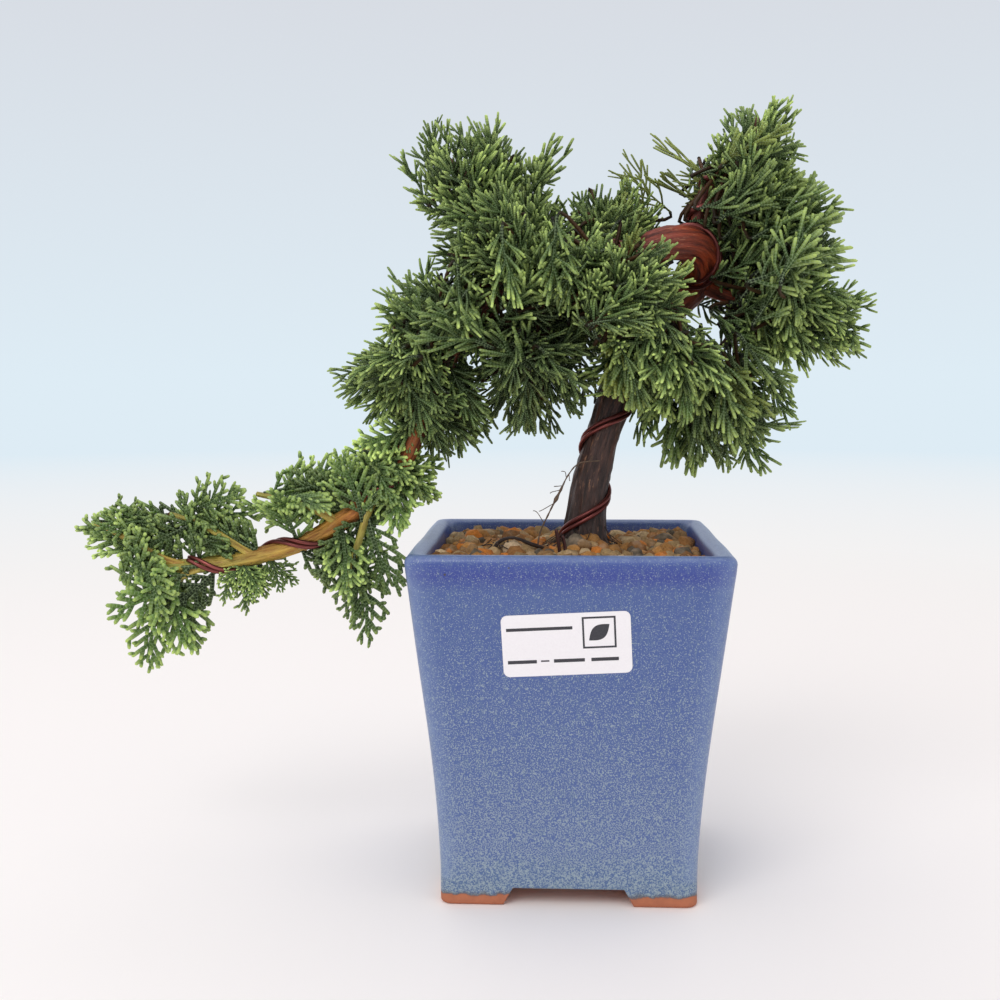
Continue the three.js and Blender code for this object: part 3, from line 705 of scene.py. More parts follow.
# share of the trunk's length and radius there
trunkTaper = [[0, 8], [0.08, 6.2], [0.14, 5.4], [0.36, 5.6], [0.48, 4.7], [0.62, 3.6], [0.85, 2.5], [1, 1.8]]
# side branches: radius at the base and the tip, age of the bark (0 old and dark, 1 young), and the route
branches = [
    (2.4, 1.0, 0.42, [
        [43, -2, 97], [42, -1.5, 107], [44, -2, 119], [50, -2, 127], [57, -1, 136], [62, 0, 144],
    ]),
    (2.2, 1.0, 0.30, [[16, 3, 53], [24, 5, 56], [38, 4, 60], [50, 4, 58], [60, 3, 50]]),
    (2.4, 1.0, 0.34, [[41, 6, 92], [52, 8, 87], [65, 6, 84], [77, 2, 85], [91, 0, 76]]),
    (2.6, 1.0, 0.42, [[-5, -12, 95], [-13, -7, 106], [-23, 1, 116], [-34, 6, 126], [-43, 6, 134]]),
    (2.0, 1.0, 0.42, [[14, -14, 98], [12, -22, 93], [20, -28, 85], [29, -26, 77], [36, -22, 68]]),
    (2.2, 1.0, 0.34, [[24, 8, 68], [17, 18, 77], [7, 27, 81], [-7, 29, 90]]),
    (2.0, 1.0, 0.34, [[40, 9, 88], [44, 20, 92], [53, 28, 99], [60, 30, 106]]),
    (1.8, 0.9, 0.42, [[-22, -9, 86], [-16, -8, 76], [-13, -8, 64], [-9, -10, 52]]),
    (1.8, 1.0, 0.55, [[-35, -8, 76], [-45, -10, 78], [-56, -12, 75]]),
    (1.8, 1.0, 0.45, [[-24, -9, 86], [-26, -18, 98], [-27, -19, 106]]),
    (2.0, 1.0, 0.40, [[-14, -10, 94], [-15, 8, 101], [-18, 22, 107]]),
    (1.6, 0.8, 0.40, [[0, -12, 95], [6, -2, 104], [12, 8, 113]]),
    (1.6, 0.9, 0.60, [[-43, -8, 62], [-52, -12, 60], [-61, -14, 58]]),
    (1.4, 0.8, 0.95, [[-56, -12, 31], [-63, -12, 33], [-70, -11, 35]]),
    (1.6, 0.8, 0.98, [[-66, -13, 19], [-68, -17, 12], [-70, -18, 5], [-73, -17, -4], [-74, -16, -13]]),
    (1.5, 0.8, 0.95, [[-77, -14, 10], [-85, -17, 15], [-95, -16, 18], [-105, -15, 20]]),
    (1.4, 0.8, 0.95, [[-107, -14, -1], [-114, -16, 4], [-125, -15, 10], [-135, -14, 13]]),
    (1.5, 0.8, 0.92, [[-131, -14, -5], [-138, -15, -2], [-146, -16, 3], [-154, -15, 7], [-161, -14, 10]]),
    (1.4, 0.8, 0.95, [[-123, -14, -4], [-132, -17, -9], [-138, -17, -16], [-140, -16, -25]]),
]
surfaceRoot = [[2, -2, -5], [-6, -7, 0], [-13, -11, 3], [-19, -12, 5.2], [-24, -10, 3.2], [-27, -8, -3]]
rootSizes = {"count": 5, "start": -45, "spread": 312, "reach": 26, "depth": 34, "thick": 3.4, "thin": 1.0}
woodRng = np.random.default_rng(woodSizes["seed"])


def trunkRadius(share):
    return np.interp(share, *np.transpose(trunkTaper))


# Bark height round and along a stem, about -1 to 1: a sum of sines that each turn a whole number of times
# round it and slowly along it, folded so that the crests are sharp and the furrows wide.
def barkRidges(length, sides, rng, fewest=3, most=13, terms=9):
    turn = np.arange(sides) / sides * 2 * math.pi
    total = np.zeros((len(length), sides))
    for _ in range(terms):
        around = rng.integers(fewest, most)
        along = rng.uniform(-0.16, 0.16)
        total += np.sin(around * turn + along * length[:, None] + rng.uniform(0, 2 * math.pi))
    return 1 - np.abs(total) / math.sqrt(terms) * 1.4


# The trunk's radius is its taper, with ridges, swellings where branches leave it, and a flared foot whose
# three buttresses: radius * (1 + flare * exp(-height / flareHeight) * (0.6 + 0.4 * cos(3 turn + 1))).
def trunkTube():
    size = woodSizes
    path = smoothRoute(trunkRoute, size["trunkRings"])
    share = np.linspace(0, 1, size["trunkRings"])
    total = np.linalg.norm(np.diff(path, axis=0), axis=1).sum()
    turn = np.arange(size["trunkSides"]) / size["trunkSides"] * 2 * math.pi
    ridge = barkRidges(share * total, size["trunkSides"], woodRng)
    radius = trunkRadius(share)[:, None] * (1 + size["ridges"] * ridge)
    knots = np.zeros_like(share)
    for _, _, _, route in branches:
        nearest = np.argmin(np.linalg.norm(path - np.array(route[0]), axis=1))
        knots += np.exp(-((share - share[nearest]) * total / 4) ** 2)
    radius *= 1 + size["swellings"] * np.minimum(knots, 1.5)[:, None]
    height = np.maximum(path[:, 2], 0)[:, None]
    buttresses = 0.6 + 0.4 * np.cos(3 * turn + 1)
    radius *= 1 + size["flare"] * np.exp(-height / size["flareHeight"]) * buttresses
    return tubes(toFrame(path)[None], radius[None] * mm, size["trunkSides"], {"age": share[None]}, 0.05, True)


def branchTubes():
    size = woodSizes
    count = size["branchRings"]
    share = np.linspace(0, 1, count)
    paths = np.array([smoothRoute(route, count) for _, _, _, route in branches])
    thick, thin, age = (np.array([branch[i] for branch in branches])[:, None] for i in range(3))
    radii = thick + (thin - thick) * share
    radii = radii * (1 + size["collar"] * np.exp(-share * 14))  # a collar where it leaves the trunk
    length = np.linalg.norm(np.diff(paths, axis=1), axis=2).sum(1)
    ridges = np.array([barkRidges(share * total, size["branchSides"], woodRng, 2, 6, 6) for total in length])
    thickness = radii[:, :, None] * (1 + size["branchRidges"] * ridges)
    values = {"age": age + 0.06 * (share - 0.5)}
    return tubes(toFrame(paths), thickness * mm, size["branchSides"], values, 0.5, True)


# Roots: buried ones spread round the trunk that dive as they go out, and one that arches over the soil.
def rootTubes():
    size = rootSizes
    count = 24
    share = np.linspace(0, 1, count)
    paths = []
    for index in range(size["count"]):
        turn = math.radians(size["start"] + index * size["spread"] / size["count"])
        course = np.array([[0.05, 0.2], [0.45, 0.35], [0.8, 0.6], [1, 1]])
        out, down = size["reach"] * course[:, :1], size["depth"] * course[:, 1]
        route = np.column_stack([4 + out * math.cos(turn), out * math.sin(turn), -down])
        paths.append(smoothRoute(route, count))
    radii = np.repeat([size["thick"] + (size["thin"] - size["thick"]) * share], size["count"], axis=0)
    paths.append(smoothRoute(surfaceRoot, count))
    radii = np.concatenate([radii, [0.6 + 0.1 * np.sin(share * 17)]])
    return tubes(toFrame(np.array(paths)), radii * mm, 10, {"age": np.full(radii.shape, 0.02)}, 0.5, True)


# Loose bark fibres: thin tubes that start on the trunk's foot and bend out to the soil, out + reach *
# share^1.6 from its middle. The last ones are shrunk into a tangle where the surface root goes down.
fibreSizes = {
    "count": 90, "start": (0.5, 9), "reach": (1, 9), "swing": 0.9, "loop": (0, 2), "thick": (0.12, 0.3),
    "tangle": 22, "tangleShrink": [0.5, 0.5, 0.35], "tanglePlace": [-26, -9, 1.2],
}


def fibreTubes():
    size = fibreSizes
    count, tangle = size["count"], size["tangle"]
    turn = woodRng.uniform(0, 2 * math.pi, count)
    start = woodRng.uniform(*size["start"], count)[:, None]
    reach = woodRng.uniform(*size["reach"], count)[:, None]
    share = np.linspace(0, 1, 7)
    out = 6.6 + reach * share ** 1.6
    angle = turn[:, None] + woodRng.uniform(-size["swing"], size["swing"], count)[:, None] * share
    loop = 0.9 * np.sin(share * math.pi) * woodRng.uniform(*size["loop"], count)[:, None]
    height = start * (1 - share) ** 1.2 + loop
    paths = np.stack([5 + out * np.cos(angle), out * np.sin(angle), height + 0.8], axis=-1)
    paths[-tangle:] = paths[-tangle:] * size["tangleShrink"] + size["tanglePlace"]
    radii = woodRng.uniform(*size["thick"], count)[:, None] * (1 - 0.5 * share)
    return tubes(toFrame(paths), radii * mm, 5, {"age": np.full(radii.shape, 0.04)}, 0.5, True)


def barkMaterial():
    shader = Shader("peelingBark")
    age = shader.attribute("age")
    grain = shader.attribute("grain", "Vector")
    streaks = shader.noise(shader.stretch(grain, (0.55, 0.55, 0.07)), 1.0, 5, 0.65)
    patches = shader.noise(shader.stretch(grain, (0.22, 0.22, 0.06)), 1.0, 3, 0.6)
    shifted = shader.math("ADD", age, shader.math("MULTIPLY", shader.math("SUBTRACT", patches, 0.5), 0.16))
    light = shader.ramp(shifted, [
        (0.0, tone(66, 46, 38)), (0.20, tone(92, 56, 44)), (0.28, tone(132, 58, 40)),
        (0.34, tone(188, 80, 40)), (0.42, tone(140, 60, 44)), (0.60, tone(120, 62, 40)),
        (0.76, tone(196, 110, 40)), (0.86, tone(214, 172, 74)), (1.0, tone(186, 184, 88)),
    ])
    dark = shader.ramp(shifted, [
        (0.0, tone(24, 16, 14)), (0.20, tone(34, 20, 18)), (0.28, tone(46, 18, 14)),
        (0.34, tone(72, 24, 16)), (0.42, tone(56, 22, 18)), (0.60, tone(44, 22, 17)),
        (0.76, tone(120, 52, 22)), (0.86, tone(150, 92, 34)), (1.0, tone(122, 120, 46)),
    ])
    colour = shader.mix(shader.between(streaks, 0.36, 0.62), dark, light)
    flakes = shader.noise(shader.stretch(grain, (1.1, 1.1, 0.2)), 1.0, 4, 0.7)
    loose = shader.math("MULTIPLY", shader.between(flakes, 0.60, 0.70), 0.5)
    colour = shader.mix(loose, colour, tone(208, 150, 110))
    shader.feed(Base_Color=colour, Roughness=shader.between(streaks, 1.1, -0.1))
    shader.set(Specular_IOR_Level=0.5)
    shader.bump(shader.math("ADD", streaks, shader.math("MULTIPLY", flakes, 0.5)), 0.0009, 1.0)
    return shader.material


woodPart = joinParts([trunkTube(), branchTubes(), rootTubes(), fibreTubes()])
addPiece("wiredTrunk", woodPart, barkMaterial(), ["trunk_and_branches"])
print("wood: trunk, branches, roots and bark fibres")


wireSizes = {
    "training": 1.5,  # diameters
    "branch": 2.0,
    "tie": 1.2,
    "rootlet": 0.7,
    "hair": 0.26,
    "hairs": 9,
    "hairSeed": 5,
    "bite": 0.12,  # how far a winding sinks into the bark
    "lead": 31.0,  # along the trunk in one turn
    "from": 0.036,
    "to": 0.962,
}
# turns made by each share of the trunk's length, and how far the two strands part inside the bends
strandTurns = [[0, -0.85], [0.0725, 0], [0.158, 1], [0.852, 9.294], [0.941, 10.294], [1, 11]]
bendSpread = [[0.28, 1], [0.33, 2.2], [0.39, 2.2], [0.44, 1]]
leaderTurns = [[0, 0.3], [1, 5.3]]
leaderWired = (0.24, 0.8)
rootletRoute = [
    [-11, -9, -3], [-10, -9, 6], [-7, -10, 13], [-3, -10, 21], [-0.5, -9.5, 26], [3, -9.5, 30], [10, -9, 31],
]


# The point beside a path at a share of its length: path + distance * (cos angle * normal + sin angle *
# binormal), all three read off between the path's own points.
def beside(path, share, angle, distance):
    _, normals, binormals = carryFrames(path[None])
    at = share * (len(path) - 1)
    step = np.arange(len(path))

    def readOff(values):
        return np.stack([np.interp(at, step, values[:, axis]) for axis in range(3)], axis=1)

    normal, binormal = unit(readOff(normals[0])), unit(readOff(binormals[0]))
    spoke = np.cos(angle)[:, None] * normal + np.sin(angle)[:, None] * binormal
    return readOff(path) + distance[:, None] * spoke


def wireTube(path, diameter, sides=10):
    radii = np.full((1, len(path)), diameter / 2 * mm)
    return tubes(toFrame(path)[None], radii, sides, {}, 0.35, True)


# One of the two strands wound side by side: the turn angle at a share is read off strandTurns, with the
# second strand's share moved back by one wire, measured along the trunk.
def strandTube(index):
    size = wireSizes
    path = smoothRoute(trunkRoute, 241)
    total = np.linalg.norm(np.diff(path, axis=0), axis=1).sum()
    share = np.linspace(size["from"], size["to"], 330)
    around = 2 * math.pi * (trunkRadius(share) + size["training"] / 2)
    apart = (size["training"] + 0.06) * np.interp(share, *np.transpose(bendSpread))
    shift = apart * np.hypot(around, size["lead"]) / around / total
    turns = np.interp(share - index * shift, *np.transpose(strandTurns))
    height = np.interp(share, np.linspace(0, 1, len(path)), path[:, 2]).clip(0)
    distance = trunkRadius(share) * (1.05 + 0.16 * np.exp(-height / 7)) + size["training"] / 2 - size["bite"]
    return wireTube(beside(path, share, 2 * math.pi * turns, distance), size["training"])


def leaderTube():
    size = wireSizes
    thick, thin, _, route = branches[0]
    path = smoothRoute(route, 120)
    share = np.linspace(*leaderWired, 110)
    turns = np.interp(share, *np.transpose(leaderTurns))
    distance = thick + (thin - thick) * share + size["branch"] / 2 - size["bite"] + 0.1
    return wireTube(beside(path, share, 2 * math.pi * turns, distance), size["branch"])


# The tie goes up from the drain mesh on both sides of the hole and ends above the soil.
def tieTube():
    low = potSizes["floorTop"] - (soilTop - potLow[2]) / mm - 1.8
    bend, above = low + 1.5, low + 6
    route = [
        [-4.4, -20, 9], [-3.5, -20, 4], [-3.2, -20, -3], [-8, -18, -20], [-7, -12, -60],
        [0, -4, above], [0, -4, bend], [0, -2.5, low], [0, 2.5, low], [0, 4, bend], [0, 4, above],
        [8, -8, -60], [4, -18, -20], [-1.4, -20.5, -3], [-1.4, -20.5, 3], [-2.2, -20.5, 7],
    ]
    return wireTube(smoothRoute(route, 300), wireSizes["tie"], 8)


# A dry rootlet that thins to its tip, with a knot and a smaller one: radius * (1 + 1.7 * knot), knot =
# exp(-((share - place) / width)^2). A few side hairs bend as they go out.
def rootletTubes():
    rng = np.random.default_rng(wireSizes["hairSeed"])
    hairCount = wireSizes["hairs"]
    path = smoothRoute(rootletRoute, 60)
    share = np.linspace(0, 1, 60)
    knot = np.exp(-((share - 0.52) / 0.035) ** 2) + 0.6 * np.exp(-((share - 0.60) / 0.02) ** 2)
    radii = wireSizes["rootlet"] / 2 * (1 + 1.7 * knot + 0.2 * np.sin(share * 90)) * (1 - 0.35 * share)
    main = tubes(toFrame(path)[None], radii[None] * mm, 6, {}, 0.5, True)
    starts = path[rng.integers(18, 56, hairCount)]
    reach = rng.normal(size=(hairCount, 3)) * [3.0, 0.6, 2.6]
    along = np.linspace(0, 1, 8)[None, :, None]
    curl = rng.normal(size=(hairCount, 1, 3)) * 1.2
    paths = starts[:, None] + reach[:, None] * along + curl * along ** 2 * (1 - along) * 4
    hairs = tubes(toFrame(paths), np.full((hairCount, 8), wireSizes["hair"] / 2 * mm), 4, {}, 0.5, True)
    return joinParts([main, hairs])


def wireMaterial(name, light, dark, roughness):
    shader = Shader(name)
    grain = shader.attribute("grain", "Vector")
    drawn = shader.noise(shader.stretch(grain, (2.4, 2.4, 0.09)), 1.0, 3, 0.6)
    colour = shader.mix(shader.between(drawn, 0.35, 0.65), tone(*dark), tone(*light))
    shader.feed(Base_Color=colour)
    shader.set(Metallic=0.75, Roughness=roughness)
    shader.bump(drawn, 0.00008, 0.6)
    return shader.material


fibre = mottledMaterial("dryFibre", (74, 58, 48), (128, 104, 84), (700, 3), 0.85)
plastic = mottledMaterial("blackPlastic", (24, 26, 25), (46, 48, 47), (1500, 3), 0.55, bump=(0.00004, 0.5))
steel = mottledMaterial("clipSteel", (110, 104, 98), (150, 144, 138), (900, 3), 0.45, metallic=0.9)
copper = wireMaterial("wireCopper", (152, 82, 76), (74, 34, 32), 0.34)
tieCopper = wireMaterial("tieWire", (88, 56, 52), (48, 30, 30), 0.5)
addPiece("trainingWireA", strandTube(0), copper, ["training_wire_a"])
addPiece("trainingWireB", strandTube(1), copper, ["training_wire_b"])
addPiece("branchWire", leaderTube(), copper, ["branch_wire"])
addPiece("anchorWire", tieTube(), tieCopper, ["anchor_wire"])
addPiece("dryRootlet", rootletTubes(), fibre, ["dry_rootlet"])
for nodeName, material in (("drain_mesh", plastic), ("mesh_clip", steel)):
    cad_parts[nodeName].data.materials.clear()
    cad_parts[nodeName].data.materials.append(material)
print("wires: two strands, the leader's coil, the tie and the rootlet")


# A spray is a stem with side shoots that have shoots of their own: set round the stem, or in turn left and
# right when flat. open: degrees between a shoot and its stem at the stem's foot and tip; long: lengths there;
# gap: how much length of a side shoot each shoot on it takes; curl: how far shoots bend forward; nearness:
# how much wood near the cluster's middle is preferred; pullShare: how far it follows the pull; spread: how
# far it strays from its way.
sprayStyles = {
    "tuft": {
        "flat": False, "stem": 22, "shoots": 10, "open": (56, 22), "long": (12.5, 7.0), "gap": 5.4,
        "subOpen": (26, 42), "subLong": (4.2, 7.4), "curl": 0.34, "thick": 0.62,
        "nearness": 0.6, "pullShare": 1, "spread": 0.32, "bright": 1,
    },
    "fan": {
        "flat": True, "stem": 25, "shoots": 12, "open": (56, 36), "long": (12.5, 4.0), "gap": 2.9,
        "subOpen": (36, 52), "subLong": (2.4, 4.0), "curl": 0.14, "thick": 0.72,
        "nearness": 0.3, "pullShare": 0.5, "spread": 0.2, "bright": 1.45,
    },
    "thread": {
        "flat": True, "stem": 25, "shoots": 7, "open": (38, 22), "long": (16, 8), "gap": 7.5,
        "subOpen": (20, 34), "subLong": (5, 9), "curl": 0.3, "thick": 0.5,
        "nearness": 0.6, "pullShare": 1, "spread": 0.32, "bright": 1,
    },
}
foliageLook = {
    "templates": 7,  # different sprays in each style
    "seed": 23,
    "squareness": 2.5,  # the power of a cluster's outline: 2 is an ellipsoid, more is boxier
    "innerShare": 0.34,
    "innerReach": (0.35, 0.8),
    "outerReach": (0.84, 1.1),
    "flatten": 0.36,  # how much of a spray's lean to the front or back is kept
    "sizes": (0.8, 1.18),
    "brights": (0.7, 1.25),
    "tips": (0.35, 1.25),
    "bow": 2.2,  # how far a spray bends, in millimetres
    "oldShare": 0.02,
    "twigRadii": [0.8, 0.66, 0.6, 0.56, 0.54, 0.54],
    "scalePitch": 2.3,
    # deep: the near-black green at the feet of shoots and twigs, partly older growth and partly painted shade
    "deep": tone(13, 22, 7),
    "middle": tone(60, 86, 32),
    "tip": tone(202, 224, 126),
    "twig": tone(96, 62, 40),
    "yellowed": tone(168, 170, 70),
}
usualCluster = {
    "style": "tuft", "count": 66, "size": 1.12, "pull": (0, 0, 0.3), "shift": (0, 0, 0), "grow": (1, 1, 1),
    "bright": 1.0, "tip": 0.8, "old": (0.0, 0.0),
}
# what differs from the usual cluster; pull: which way its sprays lean; shift: millimetres from its solid's
# box; grow: shares of that box's size; bright: a factor on its colour, whose values below 1 on the low,
# under and back clusters are painted shade
clusterLooks = {
    "crown_left": {"pull": (-0.35, -0.1, 0.8), "shift": (3, 0, 2), "grow": (1.08, 1, 1.05)},
    "shoulder_left": {"pull": (-0.5, -0.2, 0.5), "shift": (2.5, 0, 0)},
    "shoulder_back": {"pull": (0.1, 0.2, 0.7)},
    "flank_left": {"pull": (-0.7, -0.2, 0.2), "shift": (2, 0, -4), "grow": (1.05, 1, 1.1)},
    "flank_low": {"pull": (-0.5, -0.1, -0.4), "shift": (-2, 0, -1), "grow": (1.15, 1, 1.1)},
    # painted shade: bright 0.8 darkens the cluster under the flank
    "flank_under": {"pull": (0.3, 0, -0.8), "count": 64, "bright": 0.8, "tip": 0.5, "shift": (3, 0, 1),
                    "grow": (1.35, 1, 1.15)},
    "centre_front": {"pull": (0.35, -0.3, 0.15), "shift": (0, 0, -1)},
    # painted shade: bright 0.7 and 0.75 darken the low and back clusters of the centre
    "centre_low": {"pull": (0.1, 0, -0.9), "bright": 0.7, "tip": 0.6, "shift": (2, 0, -4),
                   "grow": (1.12, 1, 1.08)},
    "centre_back": {"pull": (0.1, 0.2, -0.6), "bright": 0.75, "tip": 0.5},
    "middle_front": {"pull": (0.5, -0.3, 0.4), "shift": (1, 0, 4), "grow": (1.12, 1, 1.15)},
    "middle_low": {"pull": (0.35, -0.2, -0.6), "shift": (-4, 0, -9), "grow": (1.15, 1, 1.05)},
    "top_middle": {"pull": (0.15, 0, 0.9), "count": 60, "shift": (3, 0, -2), "grow": (1.15, 1, 1)},
    "old_twigs": {"style": "thread", "pull": (-0.8, 0, 0.5), "count": 9, "bright": 1.1, "tip": 0.4,
                  "old": (0.35, 0.6), "shift": (-9, 0, -1), "grow": (1.3, 1, 1.1)},
    "crown_right": {"pull": (0.25, 0, 0.9), "grow": (0.84, 0.95, 1), "shift": (-2, 0, -2.5)},
    "right_upper": {"pull": (0.7, 0, 0.5), "shift": (2.5, 0, 2)},
    "right_outer": {"pull": (0.9, 0, -0.35), "shift": (-2.5, 0, -6)},
    "right_middle": {"pull": (0.6, 0, 0.1), "count": 38, "shift": (8, 0, -3)},
    # painted shade: bright 0.85 darkens the low cluster on the right
    "right_low": {"pull": (0.25, 0, -0.8), "bright": 0.85, "tip": 0.7, "shift": (-4, 0, -3),
                  "grow": (1.1, 1, 1.08)},
    "right_back": {"pull": (0.2, 0.4, 0.3), "count": 56},
    "bend_tuft": {"style": "fan", "pull": (0, 0, 0), "count": 26, "size": 0.95, "bright": 1.1,
                  "shift": (6, 0, -10), "grow": (1.35, 1, 1.6)},
    "hanging_spray": {"style": "fan", "pull": (0.15, 0, -1.1), "count": 9, "size": 1.05, "shift": (3, 0, 1),
                      "grow": (1.1, 1, 1.15)},
    "upper_spray": {"style": "fan", "pull": (-0.9, 0, 0.5), "count": 10, "size": 1.0, "shift": (4, 0, -2),
                    "grow": (1.05, 1, 0.9)},
    "ridge_spray": {"style": "fan", "pull": (-0.3, 0, 0.7), "count": 9, "size": 0.95, "shift": (-3, 0, -3),
                    "grow": (1.2, 1, 1)},
    "tip_spray": {"style": "fan", "pull": (-0.8, 0, 0.2), "count": 9, "size": 1.05, "bright": 1.1,
                  "shift": (1, 0, -1), "grow": (1.1, 1, 1.1)},
    "drop_spray": {"style": "fan", "pull": (-0.1, 0, -0.9), "count": 7, "size": 1.1, "shift": (-2, 0, 0),
                   "grow": (1.1, 1, 1.0)},
    "under_spray": {"style": "fan", "pull": (0.1, 0, -1.0), "count": 10, "size": 0.55},
}


# One spray in millimetres, its stem along +Z and its flat in XZ. A shoot is foot + length * (t * direction
# + curl * t^2 * up). A shoot on it leaves square to a flat, or to any direction when the spray is round.
def sprayTemplate(style, rng):
    look = sprayStyles[style]
    stemShare = np.linspace(0, 1, 7)
    sway = rng.uniform(-1.4, 1.4, 2)
    stem = np.stack([
        sway[0] * np.sin(stemShare * 4), sway[1] * np.sin(stemShare * 3 + 1), look["stem"] * stemShare
    ], axis=1)
    stemRadii = look["thick"] * (1.1 - 0.25 * stemShare)
    count = look["shoots"]
    order = np.arange(count)
    at = np.linspace(0.08, 0.96, count) + rng.uniform(-0.03, 0.03, count)
    opening = np.radians(np.interp(at, [0, 1], look["open"]) + rng.uniform(-7, 7, count))
    turn = order * (math.pi if look["flat"] else goldenAngle) + rng.uniform(-0.3, 0.3, count)
    direction = np.stack([
        np.sin(opening) * np.cos(turn), np.sin(opening) * np.sin(turn), np.cos(opening)
    ], axis=1)
    lengths = np.interp(at, [0, 0.3, 1], [look["long"][0] * 0.75, *look["long"]])
    long = lengths * rng.uniform(0.75, 1.15, count)
    foot = np.stack([np.interp(at, stemShare, stem[:, axis]) for axis in range(3)], axis=1)
    forward = np.array([0, 0, look["curl"]])

    def along(start, way, length, shares):
        t = np.array(shares)[None, :, None]
        return start[:, None] + length[:, None, None] * (t * way[:, None] + t ** 2 * forward)

    each = np.maximum(1, (long / look["gap"]).astype(int))
    parent = np.repeat(order, each)
    place = np.arange(len(parent)) - np.repeat(np.cumsum(each) - each, each)
    share = ((place + rng.uniform(0.5, 0.9, len(parent))) / (each[parent] + 0.35))[:, None]
    way = unit(direction[parent] + 2 * share * forward)
    subFoot = foot[parent] + long[parent, None] * (share * direction[parent] + share ** 2 * forward)
    flatNormal = np.array([0, 1, 0]) + rng.normal(0, 0.25, (len(parent), 3))
    square = flatNormal if look["flat"] else rng.normal(size=(len(parent), 3))
    sideways = unit(np.cross(square, way)) * np.where((place + parent) % 2, 1, -1)[:, None]
    tilt = np.radians(rng.uniform(*look["subOpen"], len(parent)))[:, None]
    subWay = np.cos(tilt) * way + np.sin(tilt) * sideways
    subLong = rng.uniform(*look["subLong"], len(parent)) * (1.15 - 0.35 * share[:, 0])

    def girth(count, profile):
        return look["thick"] * rng.uniform(0.9, 1.12, (count, 1)) * np.array(profile)

    parts = [tubes(stem[None], stemRadii[None], 5, {"growth": stemShare[None] * 0.85}, 0.9)]
    for paths, radii, growth in (
        (along(foot, direction, long, (0, 0.36, 0.7, 0.96)), girth(count, (0.85, 1.0, 1.06, 0.84)),
         [0.3, 0.55, 0.8, 1.0]),
        (along(subFoot, subWay, subLong, (0, 0.5, 0.95)), girth(len(parent), (0.8, 1.04, 0.86)),
         [0.45, 0.75, 1.0]),
    ):
        parts.append(tubes(paths, radii, 5, {"growth": np.repeat([growth], len(paths), axis=0)}, 0.85))
    return joinParts(parts)


# Copies one spray: place = base + x * across + y * out + z * along, after bending it by bow * (z / stem)^2.
def copySprays(template, stem, bases, along, across, sizes, bows):
    out = np.cross(along, across)
    points = template["points"]
    bend = (points[:, 2] / stem).clip(0) ** 2
    x = points[:, 0] + bows[:, :1] * bend
    y = points[:, 1] + bows[:, 1:] * bend
    z = points[:, 2] - 0.15 * np.hypot(*bows.T)[:, None] * bend
    local = x[..., None] * across[:, None] + y[..., None] * out[:, None] + z[..., None] * along[:, None]
    count = len(bases)
    return {
        "points": (bases[:, None] + sizes[:, None, None] * local).reshape(-1, 3),
        "quads": copyFaces(template["quads"], count, len(points)),
        "triangles": copyFaces(template["triangles"], count, len(points)),
        "uvQuads": np.tile(template["uvQuads"], (count, 1, 1)),
        "uvTriangles": np.tile(template["uvTriangles"], (count, 1, 1)),
    }


# Colour along a shoot: deep at its foot, middle green, and the tip's tone over its last stretch. The
# near-black deep tone at the foot is partly older growth and partly painted shade inside the spray.
def shootTints(growth, bright, tipShare, old):
    look = {name: np.array(foliageLook[name]) for name in ("deep", "middle", "tip", "yellowed")}
    body = np.clip(growth / 0.7, 0, 1)[None, :, None]
    tint = look["deep"] + (look["middle"] - look["deep"]) * body
    tip = (np.clip((growth - 0.7) / 0.3, 0, 1) ** 1.2)[None, :, None] * tipShare[:, None, None]
    tint = tint + (look["tip"] - tint) * tip
    tint = tint + (look["yellowed"] - tint) * old[:, None, None]
    return (tint * bright[:, None, None]).reshape(-1, 3)


# points on the unit sphere, evenly spread: each next one turns by the golden angle
def spherePoints(count):
    step = np.arange(count) + 0.5
    height = 1 - 2 * step / count
    turn = step * goldenAngle
    return np.stack([
        np.sqrt(1 - height ** 2) * np.cos(turn), np.sqrt(1 - height ** 2) * np.sin(turn), height
    ], axis=1)


woodPoints = np.concatenate(
    [smoothRoute(trunkRoute, 200)[60:]] + [smoothRoute(route, 24)[4:] for _, _, _, route in branches]
)


# Twigs that leave the wood towards the cluster and arrive along their sprays: place = (1 - t)^2 * wood
# + 2 t * (1 - t) * handle + t^2 * base, with the handle a little behind the base.
def twigTubes(wood, bases, along, size, bright):
    radii = np.repeat([foliageLook["twigRadii"]], len(bases), axis=0) * size
    t = np.linspace(0, 1, radii.shape[1])[None, :, None]
    span = np.linalg.norm(bases - wood, axis=1)[:, None, None]
    handle = bases[:, None] - along[:, None] * np.minimum(span * 0.4, 6)
    paths = (1 - t) ** 2 * wood[:, None] + 2 * t * (1 - t) * handle + t ** 2 * bases[:, None]
    # twigs darken from the bark tone to the deep tone towards their sprays, partly painted shade
    deep, twig = np.array(foliageLook["deep"]), np.array(foliageLook["twig"])
    return tubes(paths, radii, 5, {"tint": (twig + (deep - twig) * t) * bright[:, None, None]})


